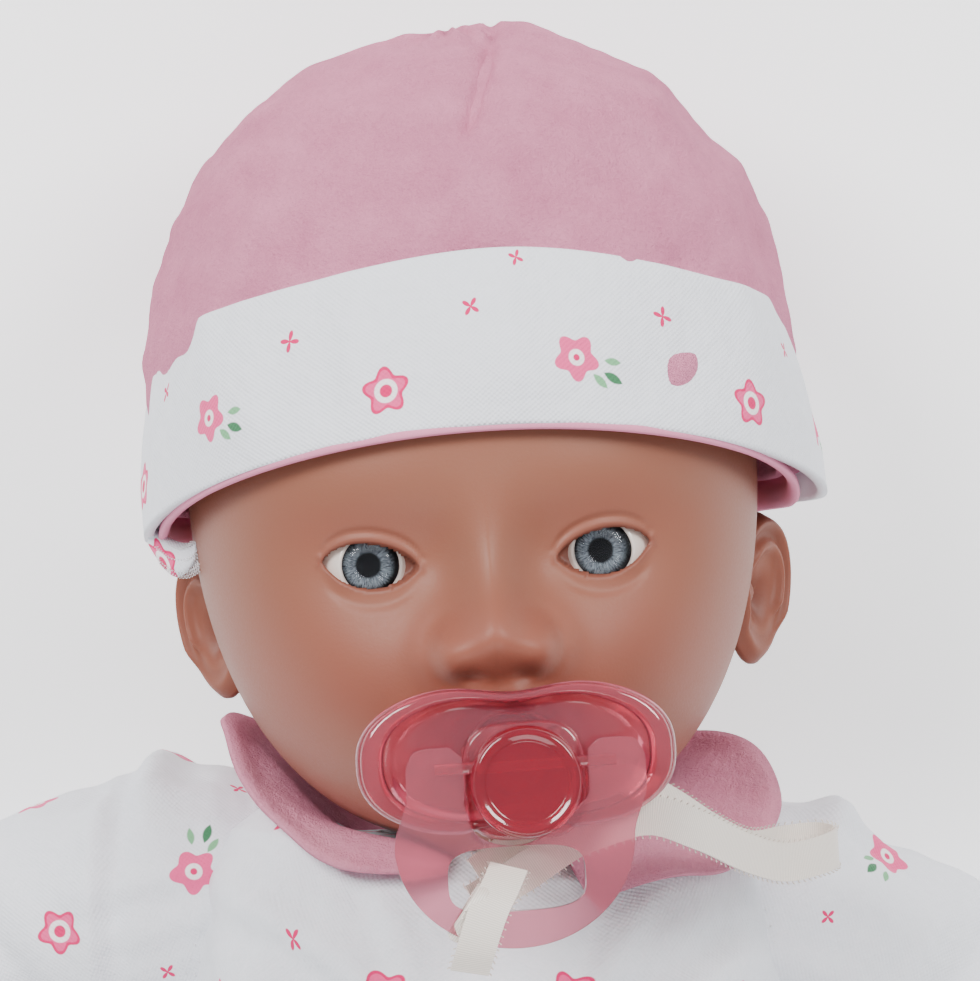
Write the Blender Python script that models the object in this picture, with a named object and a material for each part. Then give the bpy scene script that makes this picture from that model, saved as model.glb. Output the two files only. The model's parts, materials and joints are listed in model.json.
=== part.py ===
"""Interactive baby doll: vinyl head, stuffed body with a sound unit, dressed in a romper and a hat.

The doll lies on its back. +X is the doll's left hand side, +Y runs from the feet to the crown, and
+Z points up out of the chest. The origin is on the flat patch of the romper's back. All lengths
below are in millimetres, and the mesh helpers turn them into Blender's metres.
"""

import math

import bmesh
import bpy
from mathutils import Matrix, Vector

MM = 0.001
GAP = 0.3

# Driving dimensions (mm)
NECK = Vector((1.2, 58.0, 46.0))
HEAD_ROLL = 3.7
HEAD_YAW = 2.5
HEAD_CENTRE = Vector((0.0, 67.0, 8.0))
HEAD_HALF = Vector((46.0, 63.5, 46.0))
HEAD_POWER = 2.3
VINYL = 3.0
EYE_RADIUS = 9.5
EYE_PLACE = Vector((18.2, 49.5, 37.5))
LID_RADIUS = 11.6
MOUTH = Vector((2.0, 18.6, 0.0))
HAT_SHIFT = 1.5
HAT_WALL = 2.4
CUFF_WALL = 2.8
CUFF_HEIGHT = 27.0
SHIELD_BACK = 56.0
SHIELD_THICK = 4.0
CLOTH = 1.2
SIDE_SEAM = 32.0
SHOULDERS = {"left": (Vector((46.0, 47.0, 30.0)), -25.0), "right": (Vector((-46.0, 53.0, 30.0)), 195.0)}
HIPS = {"left": (Vector((27.0, -54.0, 30.0)), -79.0), "right": (Vector((-27.0, -54.0, 30.0)), -101.0)}
ARM_DROOP = 11.0
LEG_DROOP = 6.5
SHOULDER_RADIUS = 20.0
HIP_RADIUS = 21.0
SWING_ARM = 75.0
SWING_LEG = 75.0
CASE_LOW = Vector((-33.0, -33.0, 17.3))
CASE_HIGH = Vector((33.0, 23.0, 46.7))
CASE_WALL = 2.0
BATTERY_RADIUS = 5.25
BATTERY_LENGTH = 44.5

# Colours: red, green, blue, roughness, metallic
VINYL_SKIN = (0.42, 0.21, 0.14, 0.45, 0.0)
FLEECE = (0.70, 0.40, 0.51, 0.95, 0.0)
INTERLOCK = (0.80, 0.81, 0.86, 0.9, 0.0)
VELOUR = (0.77, 0.33, 0.48, 0.9, 0.0)
PLASTIC_ROSE = (0.62, 0.10, 0.17, 0.15, 0.0)
SATIN = (0.76, 0.69, 0.65, 0.35, 0.0)
STUFFING = (0.85, 0.83, 0.78, 1.0, 0.0)
BODY_CLOTH = (0.72, 0.60, 0.52, 0.9, 0.0)
WHITE_PLASTIC = (0.75, 0.75, 0.74, 0.4, 0.0)
GREY_PLASTIC = (0.3, 0.3, 0.32, 0.5, 0.0)
STEEL = (0.55, 0.55, 0.56, 0.3, 1.0)
EYE_WHITE = (0.70, 0.60, 0.54, 0.2, 0.0)
IRIS_BROWN = (0.05, 0.04, 0.04, 0.2, 0.0)
CORNEA_CLEAR = (0.8, 0.85, 0.9, 0.05, 0.0)
BOARD_GREEN = (0.03, 0.18, 0.08, 0.5, 0.0)
PAPER_CONE = (0.04, 0.04, 0.04, 0.8, 0.0)


# Mesh helpers
def clear_scene():
    for item in list(bpy.data.objects):
        bpy.data.objects.remove(item, do_unlink=True)


def material_for(name, look):
    material = bpy.data.materials.new(name)
    material.use_nodes = True
    shader = material.node_tree.nodes["Principled BSDF"]
    shader.inputs["Base Color"].default_value = (*look[:3], 1.0)
    shader.inputs["Roughness"].default_value = look[3]
    shader.inputs["Metallic"].default_value = look[4]
    return material


def skin(name, rings, look, parent=None, loop=False):
    """One closed body through a row of rings. A ring of one point is a pole; loop joins last to first."""
    mesh = bmesh.new()
    rows = [[mesh.verts.new(Vector(point) * MM) for point in ring] for ring in rings]
    pairs = list(zip(rows, rows[1:]))
    if loop:
        pairs.append((rows[-1], rows[0]))
    for first, second in pairs:
        count = max(len(first), len(second))
        if count == 1:
            continue
        for i in range(count):
            j = (i + 1) % count
            corners = [first[i % len(first)], first[j % len(first)], second[j % len(second)],
                       second[i % len(second)]]
            for triangle in (corners[:3], [corners[0], *corners[2:]]):
                if len(set(triangle)) == 3:
                    mesh.faces.new(triangle)
    if not loop:
        for row in (rows[0], rows[-1]):
            if len(row) > 2:
                mesh.faces.new(row)
    bmesh.ops.recalc_face_normals(mesh, faces=mesh.faces)
    if mesh.calc_volume(signed=True) < 0:
        bmesh.ops.reverse_faces(mesh, faces=mesh.faces)
    data = bpy.data.meshes.new(name)
    mesh.to_mesh(data)
    mesh.free()
    data.shade_smooth()
    data.set_sharp_from_angle(angle=math.radians(40))
    item = bpy.data.objects.new(name, data)
    bpy.context.collection.objects.link(item)
    if look:
        data.materials.append(material_for(name, look))
    if parent:
        item.parent = parent
    return item


def guide(item):
    """Marks an object as a cutter, which is no part of the doll."""
    item.hide_render = True
    item.display_type = "WIRE"
    return item


def boolean(target, other, operation="DIFFERENCE"):
    step = target.modifiers.new(other.name, "BOOLEAN")
    step.operation = operation
    step.solver = "EXACT"
    step.object = other
    return target


def empty(name, place, turn):
    item = bpy.data.objects.new(name, None)
    item.location = place * MM
    item.rotation_euler = turn.to_euler()
    bpy.context.collection.objects.link(item)
    return item


def circle(centre, across, up, radius, count, second_radius=None):
    """A ring of points in the plane of two directions."""
    height = radius if second_radius is None else second_radius
    points = []
    for i in range(count):
        angle = 2 * math.pi * (i + 0.5) / count
        points.append(centre + across * (radius * math.cos(angle)) + up * (height * math.sin(angle)))
    return points


def frame_of(axis):
    axis = Vector(axis).normalized()
    start = Vector((0, 0, 1)) if abs(axis.z) < 0.9 else Vector((1, 0, 0))
    across = axis.cross(start).normalized()
    return axis, across, across.cross(axis)


def turned(name, centre, axis, profile, look, parent=None, count=18, loop=False):
    """A turned solid. The profile is a row of (distance along the axis, radius)."""
    axis, across, up = frame_of(axis)
    rings = []
    for along, radius in profile:
        middle = Vector(centre) + axis * along
        rings.append([middle] if radius == 0 else circle(middle, across, up, radius, count))
    return skin(name, rings, look, parent, loop)


def rod(name, centre, axis, start, end, radius, look, parent=None, count=18):
    return turned(name, centre, axis, [(start, radius), (end, radius)], look, parent, count)


def box(name, low, high, look, parent=None):
    low, high = Vector(low), Vector(high)
    rings = []
    for z in (low.z, high.z):
        rings.append([(low.x, low.y, z), (high.x, low.y, z), (high.x, high.y, z), (low.x, high.y, z)])
    return skin(name, rings, look, parent)


def plate(name, outline, low, high, look, parent=None, round_edge=0.0):
    """An outline in X and Y raised from low to high, with its edges rounded off."""
    middle = sum((Vector(p) for p in outline), Vector((0, 0))) / len(outline)
    steps = [(low, 0.0), (high, 0.0)]
    if round_edge:
        steps = [(low, round_edge), (low + round_edge, 0), (high - round_edge, 0), (high, round_edge)]
    rings = []
    for z, inset in steps:
        ring = []
        for point in outline:
            out = Vector(point) - middle
            ring.append((*(middle + out * (1 - inset / max(out.length, 1.0))), z))
        rings.append(ring)
    return skin(name, rings, look, parent)


def sphere_rings(centre, radius, count=14, steps=8):
    rings = [[centre + Vector((0, 0, -radius))]]
    for i in range(1, steps):
        angle = math.pi * i / steps
        middle = centre + Vector((0, 0, -radius * math.cos(angle)))
        rings.append(circle(middle, Vector((1, 0, 0)), Vector((0, 1, 0)), radius * math.sin(angle), count))
    rings.append([centre + Vector((0, 0, radius))])
    return rings


# Head
def bump(x, y, centre_x, centre_y, width, height):
    return height * math.exp(-((x - centre_x) ** 2 + (y - centre_y) ** 2) / (2 * width ** 2))


def head_point(turn, rise, offset=0.0):
    """A point on the head's skin. turn goes round the neck axis from the front, rise from chin to crown."""
    flat = math.cos(rise)
    unit = Vector((flat * math.sin(turn), math.sin(rise), flat * math.cos(turn)))
    size = sum(abs(part) ** HEAD_POWER for part in unit) ** (-1 / HEAD_POWER)
    half = HEAD_HALF + Vector((offset, offset, offset))
    point = HEAD_CENTRE + Vector(unit[i] * size * half[i] for i in range(3))
    if point.z > HEAD_CENTRE.z and offset >= 0:
        point.z += bump(point.x, point.y, 0, 20, 14, 7.0)
        point.z += bump(point.x, point.y, 0, 37, 4.5, 8.0)
        point.z += bump(point.x, point.y, 0, 12, 9, 2.5)
    return point


def head_rings(offset, rows, count):
    rings = [[head_point(0, -math.pi / 2, offset)]]
    for i in range(1, rows):
        rise = -math.pi / 2 + math.pi * i / rows
        rings.append([head_point(2 * math.pi * k / count, rise, offset) for k in range(count)])
    rings.append([head_point(0, math.pi / 2, offset)])
    return rings


def make_head(head):
    up = Vector((0, 1, 0))
    shell = skin("head_shell", head_rings(0, 18, 30), VINYL_SKIN, head)
    lumps = []
    for side in (-1, 1):
        eye = Vector((EYE_PLACE.x * side, EYE_PLACE.y, EYE_PLACE.z))
        lid = skin(f"lid_{side}", sphere_rings(eye, LID_RADIUS), None, head)
        rings = sphere_rings(Vector((0, 0, 0)), 1.0, 14, 8)
        place = Vector((46.0 * side, 42.0, 1.0))
        ear_rings = [[place + Vector((p.x * 4.0, p.y * 12.0, p.z * 7.5)) for p in ring] for ring in rings]
        lumps += [lid, skin(f"ear_{side}", ear_rings, None, head)]
    stub = [(-16, 18.5), (-12, 18.5), (-11.6, 15), (14, 15)]
    lumps.append(turned("neck_stub", (0, 0, 0), up, stub, None, head, 20))
    for lump in lumps:
        boolean(shell, guide(lump), "UNION")
    inside = skin("head_inside", head_rings(-VINYL, 12, 20), None, head)
    hollows = [inside, rod("neck_bore", (0, 0, 0), up, -20, 24, 11, None, head)]
    for side in (-1, 1):
        eye = Vector((EYE_PLACE.x * side, EYE_PLACE.y, EYE_PLACE.z))
        hollows.append(skin(f"socket_{side}", sphere_rings(eye, EYE_RADIUS + GAP), None, head))
        opening = circle(Vector((eye.x, eye.y - 0.6, 0)), Vector((1, 0, 0)), up, 7.5, 16, 3.9)
        rings = [[p + Vector((0, 0, z)) for p in opening] for z in (40, 70)]
        hollows.append(skin(f"eye_opening_{side}", rings, None, head))
    hollows.append(rod("mouth_hole", MOUTH, (0, 0, 1), 30, 70, 8.6, None, head, 20))
    for hollow in hollows:
        boolean(shell, guide(hollow))
    stuffing = skin("head_stuffing", head_rings(-VINYL - 1.2, 12, 20), STUFFING, head)
    boolean(stuffing, guide(box("stuffing_front", (-60, 0, 22), (60, 140, 70), None, head)))
    boolean(stuffing, guide(box("stuffing_neck", (-60, -20, -60), (60, 26, 70), None, head)))
    rod("neck_plug_disc", (0, 0, 0), up, -15.5, -12, 10.6, WHITE_PLASTIC, head)


def make_eyes(head):
    for side, word in ((1, "left"), (-1, "right")):
        eye = Vector((EYE_PLACE.x * side, EYE_PLACE.y, EYE_PLACE.z))
        ball = skin(f"eyeball_{word}", sphere_rings(eye, EYE_RADIUS), EYE_WHITE, head)
        seat = turned(f"iris_seat_{side}", eye, (0, 0, 1), [(7.7, 5.2), (12, 5.2)], None, head, 20)
        boolean(ball, guide(seat))
        turned(f"iris_{word}", eye, (0, 0, 1), [(8.0, 4.7), (8.3, 4.7)], IRIS_BROWN, head, 20)
        dome = [(8.6, 3.9), (8.9, 2.8), (9.2, 1.5), (9.3, 0)]
        turned(f"cornea_{word}", eye, (0, 0, 1), dome, CORNEA_CLEAR, head, 20)
        ring = [(-10.4, 9.0), (-10.4, 4.0), (-9.85, 4.0), (-9.85, 2.0), (-11.4, 2.0), (-11.4, 9.0)]
        turned(f"eye_retainer_{word}", eye, (0, 0, 1), ring, WHITE_PLASTIC, head, 16, True)


def make_mouth(head):
    cup = [(32.0, 0), (32.0, 8.2), (50.5, 8.2), (50.5, 7.0), (33.5, 7.0), (33.5, 0)]
    turned("mouth_cup", MOUTH, (0, 0, 1), cup, WHITE_PLASTIC, head, 20)
    rod("reed_switch", MOUTH + Vector((0, 0, 30.2)), (1, 0, 0), -6, 6, 1.2, CORNEA_CLEAR, head, 10)


# Hat
def hat_tilt(turn):
    """The brim dips from the forehead down to the nape."""
    return 10.0 * math.cos(turn) + 60.0


def hat_point(turn, share, offset):
    """A point of the hat's surface, share 0 at the brim and 1 at the crown."""
    top = HEAD_CENTRE.y + HEAD_HALF.y + offset
    low = hat_tilt(turn)
    height = low + (top - low) * math.sin(share * math.pi / 2)
    climb = max(0.0, min(1.0, (height - HEAD_CENTRE.y) / (top - HEAD_CENTRE.y)))
    wide = (1 - climb ** HEAD_POWER) ** (1 / HEAD_POWER)
    across, deep = math.sin(turn), math.cos(turn)
    size = (abs(across) ** HEAD_POWER + abs(deep) ** HEAD_POWER) ** (-1 / HEAD_POWER)
    x = across * size * (HEAD_HALF.x + HAT_SHIFT + offset) * wide + HAT_SHIFT * 0.5
    z = deep * size * (HEAD_HALF.z + offset) * wide + HEAD_CENTRE.z
    return Vector((x, height, z))


def make_hat(hat):
    turns = [2 * math.pi * k / 30 for k in range(30)]
    shares = [i / 7 for i in range(7)]
    outside = [[hat_point(t, s, 1.0 + HAT_WALL) for t in turns] for s in shares]
    inside = [[hat_point(t, s, 1.0) for t in turns] for s in shares]
    rings = outside + [[hat_point(0, 1, 1.0 + HAT_WALL)], [hat_point(0, 1, 1.0)]] + inside[::-1]
    skin("hat_crown", rings, FLEECE, hat, True)
    steps = [i / 4 for i in range(5)]
    inner, outer = [], []
    for step in steps:
        low_ring, high_ring = [], []
        for turn in turns:
            rise = CUFF_HEIGHT * step
            share = min(1.0, rise / (HEAD_CENTRE.y + HEAD_HALF.y + 3.4 - hat_tilt(turn)))
            share = math.asin(share) * 2 / math.pi
            low_ring.append(hat_point(turn, share, 1.0 + HAT_WALL + GAP + 0.2))
            high_ring.append(hat_point(turn, share, 1.0 + HAT_WALL + GAP + 0.2 + CUFF_WALL))
        inner.append(low_ring)
        outer.append(high_ring)
    skin("hat_cuff", inner + outer[::-1], VELOUR, hat, True)


# Pacifier
def butterfly(half_width, half_height, dip, count=40):
    """The shield's outline: two rounded wings with a dip at the top and a shallower one below."""
    points = []
    for i in range(count):
        angle = 2 * math.pi * i / count
        x = half_width * math.copysign(abs(math.cos(angle)) ** 0.85, math.cos(angle))
        lobe = 1 - dip * math.exp(-(x / (0.33 * half_width)) ** 2)
        y = half_height * math.copysign(abs(math.sin(angle)) ** 0.8, math.sin(angle)) * lobe
        points.append((MOUTH.x + x, MOUTH.y + y))
    return points


def make_pacifier(pacifier, handle):
    front = SHIELD_BACK + SHIELD_THICK
    plate("pacifier_shield", butterfly(24.8, 12.2, 0.16), SHIELD_BACK, front, PLASTIC_ROSE, pacifier, 1.0)
    middle = MOUTH + Vector((1.0, -3.6, 0))
    knob = [(front + GAP, 0), (front + GAP, 8.0), (front + 3, 8.8), (front + 7.5, 8.8), (front + 9.0, 7.8),
            (front + 9.0, 0)]
    knob_body = turned("pacifier_knob", middle, (0, 0, 1), knob, PLASTIC_ROSE, pacifier, 28)
    pin_height = front + 4.6
    hinge = Vector((middle.x, MOUTH.y - 1.0, pin_height))
    pin_bore = rod("handle_pin_bore", hinge, (1, 0, 0), -30, 30, 1.7, None, pacifier, 16)
    boolean(knob_body, guide(pin_bore))
    neck = [(38.0, 0), (38.0, 4.0), (42.0, 6.0), (50.0, 6.0), (52.0, 4.2), (SHIELD_BACK - GAP, 4.2),
            (SHIELD_BACK - GAP, 0)]
    turned("pacifier_teat", MOUTH, (0, 0, 1), neck, SATIN, pacifier, 20)
    rod("pacifier_magnet", MOUTH, (0, 0, 1), 35.0, 37.7, 3.0, STEEL, pacifier, 16)
    low, high = -1.9, 1.9
    outer = [(-18.3, 0.6), (-17.4, 2.6), (-15.0, 3.4), (15.0, 3.4), (17.4, 2.6), (18.3, 0.6)]
    outer += [(18.5 * math.cos(a), -11.5 + 16.5 * math.sin(a))
              for a in [-math.pi * i / 14 for i in range(15)]]
    ring = plate("pacifier_handle", outer, low, high, PLASTIC_ROSE, handle, 0.9)
    finger = []
    for i in range(20):
        angle = 2 * math.pi * i / 20
        x = 10.5 * math.copysign(abs(math.cos(angle)) ** 0.7, math.cos(angle))
        finger.append((x, -17.5 + 4.6 * math.copysign(abs(math.sin(angle)) ** 0.7, math.sin(angle))))
    knob_room = circle(Vector((0, -2.6, 0)), Vector((1, 0, 0)), Vector((0, 1, 0)), 9.6, 28)
    boolean(ring, guide(plate("finger_gap", finger, -6, 6, None, handle)))
    boolean(ring, guide(plate("knob_room", [(p.x, p.y) for p in knob_room], -6, 6, None, handle)))
    boolean(ring, guide(box("fork_room", (-9.5, -8.0, -6), (9.5, 8.0, 6), None, handle)))
    boolean(ring, guide(rod("pin_hole", (0, 0, 0), (1, 0, 0), -14.5, 14.5, 1.2, None, handle, 12)))
    rod("handle_pin", hinge, (1, 0, 0), -14.0, 14.0, 0.9, STEEL, pacifier, 12)
    return hinge


# Ribbon
RIBBON_ROUTE = (
    (-6.0, -3.5, 58.7), (2.0, 0.5, 55.6), (12.0, 6.5, 54.9), (22.0, 8.5, 54.3), (30.0, 5.0, 51.0),
    (37.5, 0.0, 43.0), (44.0, -2.5, 35.0), (50.5, -1.5, 29.5), (55.5, 3.0, 27.5), (54.5, 8.5, 28.5),
    (48.0, 11.0, 31.5), (40.0, 11.5, 37.0), (32.0, 13.0, 43.5), (24.0, 14.5, 49.8), (14.0, 12.0, 51.6),
    (4.0, 5.8, 52.2), (-5.0, 0.3, 55.2),
)
RIBBON_WIDTH = 6.0
RIBBON_THICK = 0.6


def smooth_route(points, steps):
    """A Catmull-Rom curve through the route's points."""
    route = [Vector(p) for p in points]
    route = [route[0] * 2 - route[1]] + route + [route[-1] * 2 - route[-2]]
    out = []
    for i in range(1, len(route) - 2):
        a, b, c, d = route[i - 1:i + 3]
        for k in range(steps):
            t = k / steps
            out.append(0.5 * (2 * b + (c - a) * t + (2 * a - 5 * b + 4 * c - d) * t ** 2
                              + (3 * b - a - 3 * c + d) * t ** 3))
    out.append(route[-2])
    return out


def strip(name, path, width, thick, facing, look, parent):
    """A flat tape along a path, its broad side square to the facing direction."""
    rings = []
    for i, point in enumerate(path):
        along = (path[min(i + 1, len(path) - 1)] - path[max(i - 1, 0)]).normalized()
        across = along.cross(facing).normalized()
        out = across.cross(along).normalized()
        side, rise = across * (width / 2), out * (thick / 2)
        rings.append([point - side - rise, point + side - rise, point + side + rise, point - side + rise])
    return skin(name, rings, look, parent)


def make_ribbon(pacifier, handle):
    strip("ribbon", smooth_route(RIBBON_ROUTE, 3), RIBBON_WIDTH, RIBBON_THICK, Vector((0, 0.25, 1)), SATIN,
          pacifier)
    tail = [Vector((-8.5, -24.2, 3.4)), Vector((-8.0, -27.0, 3.2)), Vector((-7.0, -30.5, 2.0)),
            Vector((-6.0, -33.5, 0.4))]
    strip("ribbon_tail", tail, RIBBON_WIDTH, RIBBON_THICK, Vector((0, 0, 1)), SATIN, handle)
    along = Vector((0.55, -0.83, 0)).normalized()
    across = Vector((0.83, 0.55, 0)).normalized()
    knot = [(-1.7, 0.0), (-1.7, 0.8), (-0.7, 1.4), (0.7, 1.4), (1.7, 0.8), (1.7, 0.0)]
    rings = [circle(Vector((-12.4, -19.6, 0)) + along * a, across, Vector((0, 0, 1)), 5.6 + r, 16, 3.0 + r)
             for a, r in knot]
    skin("ribbon_knot", rings, SATIN, handle, True)


# Body, romper and limbs
TORSO_SECTIONS = (
    (-72.0, 30.0, 10.0, 40.0), (-66.0, 42.0, 0.0, 52.0), (-50.0, 49.0, -4.0, 62.0), (-25.0, 52.0, -5.0,
                                                                                     66.0),
    (0.0, 52.0, -5.0, 69.0), (25.0, 50.0, -5.0, 71.0), (44.0, 46.0, -3.0, 71.0), (54.0, 39.0, 6.0, 69.0),
    (59.0, 30.0, 16.0, 65.0),
)


def torso_rings(inset, count=24):
    rings = []
    last = len(TORSO_SECTIONS) - 1
    for i, (y, half, low, high) in enumerate(TORSO_SECTIONS):
        y += inset if i == 0 else (-inset if i == last else 0)
        ring = []
        for k in range(count):
            angle = 2 * math.pi * (k + 0.5) / count
            c, s = math.cos(angle), math.sin(angle)
            x = (half - inset) * math.copysign(abs(c) ** 0.8, c)
            z = (low + high) / 2 + ((high - low) / 2 - inset) * math.copysign(abs(s) ** 0.8, s)
            ring.append((x, y, max(z, inset)))
        rings.append(ring)
    return rings


def limb_frame(place, heading, droop):
    """Local +X runs down the limb, local +Y is the swing axis reversed, and local +Z is up."""
    turn = Matrix.Rotation(math.radians(heading), 3, "Z") @ Matrix.Rotation(math.radians(droop), 3, "Y")
    return place, turn


def notch(name, limb, radius, half_length, swing):
    """The room a limb needs to swing up: a barrel round the hinge, open outwards."""
    reach = 120.0
    points = []
    steps = 12
    start, end = -math.pi / 2, -math.radians(270 - swing)
    for i in range(steps + 1):
        angle = start + (end - start) * i / steps
        points.append((radius * math.cos(angle), radius * math.sin(angle)))
    top = Vector(points[-1]) + Vector((math.cos(math.radians(swing)),
                                       math.sin(math.radians(swing)))) * reach
    points += [(top.x, top.y), (reach * 1.5, top.y), (reach * 1.5, -radius)]
    rings = [[(x, y, z) for x, z in points] for y in (-half_length, half_length)]
    return guide(skin(name, rings, None, limb))


def limb_rings(profile, inset, count=16):
    rings = []
    for x, wide, deep, lift in profile:
        middle = Vector((x, 0, lift))
        across, up = Vector((0, 1, 0)), Vector((0, 0, 1))
        rings.append([middle] if wide == 0 else circle(middle, across, up, wide - inset, count,
                                                       deep - inset))
    return rings


def ball_profile(radius, until, steps=4):
    """The rounded upper end of a limb, as (along, half width, half depth, lift)."""
    points = [(-radius, 0, 0, 0)]
    for i in range(1, steps + 1):
        angle = math.pi / 2 * i / steps * until
        points.append((-radius * math.cos(angle), radius * math.sin(angle), radius * math.sin(angle), 0))
    return points


def make_limb(word, kind, limb, radius, sleeve_profile, pad_end, hard_profile, plug):
    """A garment tube, the stuffed cloth limb inside it, and the vinyl end that plugs into the cloth."""
    names = {"arm": ("sleeve", "upper_arm", "arm"), "leg": ("romper_leg", "thigh", "leg")}[kind]
    outside = ball_profile(radius, 1.0) + sleeve_profile
    inside = ball_profile(radius - CLOTH, 1.0) + [(x, w - CLOTH, d - CLOTH, z)
                                                  for x, w, d, z in sleeve_profile]
    rings = limb_rings(outside, 0) + limb_rings(inside, 0)[::-1]
    skin(f"{names[0]}_{word}", rings, INTERLOCK, limb, True)
    room = CLOTH + GAP
    pad = ball_profile(radius - room, 1.0) + [(x, w - room, d - room, z)
                                              for x, w, d, z in sleeve_profile if x <= pad_end]
    cloth = skin(f"{names[1]}_{word}", limb_rings(pad, 0), BODY_CLOTH, limb)
    bore = rod(f"{names[2]}_plug_room_{word}", (0, 0, plug[2]), (1, 0, 0), plug[0] - GAP, pad_end + 5,
               plug[1] + GAP, None, limb)
    boolean(cloth, guide(bore))
    return skin(f"{names[2]}_{word}", limb_rings(hard_profile, 0), VINYL_SKIN, limb)


def make_limbs(limbs):
    for word in ("left", "right"):
        arm = limbs[f"shoulder_{word}"]
        sleeve = [(15, 20, 19.5, 0), (35, 19, 18.5, 0), (55, 17.5, 17, 0), (68, 16, 15.5, 0),
                  (76, 14.5, 14, 0)]
        hand = [(48, 0, 0, 0), (48, 7.5, 7.5, 0), (69, 7.5, 7.5, 0), (70, 12, 11.5, 0), (80, 11.5, 11, 0),
                (90, 9, 8.5, 0), (97, 10.5, 7.5, -1), (106, 12, 7, -1.5), (114, 10, 5.5, -1.5), (119, 5, 3,
                                                                                                 -1.5), (120, 0, 0, -1.5)]
        make_limb(word, "arm", arm, SHOULDER_RADIUS, sleeve, 68, hand, (48, 7.5, 0))
        leg = limbs[f"hip_{word}"]
        trouser = [(15, 21, 21, 0), (45, 20.5, 20.5, 0), (80, 19, 18.5, 0), (105, 17.5, 17, 0),
                   (116, 15, 14.5, 0)]
        foot = [(88, 0, 0, 0), (88, 9, 9, 0), (106, 9, 9, 0), (107, 13, 12.5, 0), (118, 12.5, 12.5, 0),
                (130, 11.5, 12, 1)]
        foot += [(136, 12, 14, 3), (142, 12.5, 18, 7), (149, 13, 22, 10), (155, 12, 21, 12),
                 (158, 8, 17, 13), (159, 0, 0, 13)]
        make_limb(word, "leg", leg, HIP_RADIUS, trouser, 105, foot, (88, 9, 0))


def make_torso(head, limbs):
    """The stuffed body and the romper over it, each a front and a back that meet at the side seams."""
    up = Vector((0, 1, 0))
    neck_room = guide(rod("neck_room", (0, 0, 0), up, -40, 40, 15.4, None, head, 20))
    neck_flange = guide(rod("neck_flange_room", (0, 0, 0), up, -17, -11.2, 19, None, head, 20))
    tie_groove = guide(rod("tie_groove", (0, 0, 0), up, -8.2, -4.2, 18.8, None, head, 20))
    notches = [notch(f"arm_notch_{w}", limbs[f"shoulder_{w}"], SHOULDER_RADIUS + 0.5, 20.6, SWING_ARM + 2)
               for w in ("left", "right")]
    notches += [notch(f"leg_notch_{w}", limbs[f"hip_{w}"], HIP_RADIUS + 0.5, 21.6, SWING_LEG + 2)
                for w in ("left", "right")]
    low_half = guide(box("low_half", (-200, -200, -50), (200, 200, SIDE_SEAM - GAP / 2), None))
    high_half = guide(box("high_half", (-200, -200, SIDE_SEAM + GAP / 2), (200, 200, 200), None))
    pocket = guide(box("case_pocket", CASE_LOW - Vector((GAP, GAP, GAP)),
                       CASE_HIGH + Vector((GAP, GAP, GAP)), None))
    back_window = guide(box("back_window", (CASE_LOW.x + 3, CASE_LOW.y + 3, -5),
                            (CASE_HIGH.x - 3, CASE_HIGH.y - 3, 18), None))
    romper_inside = guide(skin("romper_inside", torso_rings(CLOTH), None))
    button_well = guide(rod("button_well", BUTTON, (0, 0, 1), 0, 40, 8.8, None))
    for word, half in (("front", high_half), ("back", low_half)):
        romper = skin(f"romper_{word}", torso_rings(0), INTERLOCK)
        boolean(romper, romper_inside)
        boolean(romper, half, "INTERSECT")
        for cutter in [neck_room] + notches:
            boolean(romper, cutter)
        body = skin(f"body_{word}", torso_rings(CLOTH + GAP), BODY_CLOTH)
        boolean(body, half, "INTERSECT")
        for cutter in [neck_room, neck_flange, tie_groove, pocket] + notches:
            boolean(body, cutter)
        boolean(body, back_window if word == "back" else button_well)
    tie = [(-7.9, 15.8), (-7.9, 18.2), (-4.5, 18.2), (-4.5, 15.8)]
    turned("neck_cable_tie", NECK_LOCAL, up, tie, WHITE_PLASTIC, head, 20, True)
    box("hook_strip", (-7, -28, 1.6), (7, 18, 2.6), INTERLOCK)
    box("loop_strip", (-7, -28, 2.9), (7, 18, 3.9), INTERLOCK)


NECK_LOCAL = Vector((0, 0, 0))
BUTTON = Vector((18.0, 6.0, 44.0))


def make_collar(head):
    """The turned-over collar: narrow behind the neck, with a broad flap on each side at the front."""
    rings = []
    steps = 36
    for i in range(steps + 1):
        turn = math.radians(50 + 260 * i / steps)
        side = abs(math.degrees(turn) - 180)
        flap = max(0.0, min(1.0, (side - 84) / 12))
        tip = max(0.0, min(1.0, (130 - side) / 16))
        reach = 24.5 + 19 * flap * (0.35 + 0.65 * tip)
        lift = 3.4 + 5.0 * flap
        inner, outer = 22.5, reach
        direction = Vector((math.sin(turn), 0, math.cos(turn)))
        up = Vector((0, 1, 0))
        points = [direction * inner + up * 4.6, direction * outer + up * (lift + 2.6),
                  direction * outer + up * (lift + 1.0), direction * inner + up * 3.0]
        rings.append(points)
    return skin("collar", rings, VELOUR, head)


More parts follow.
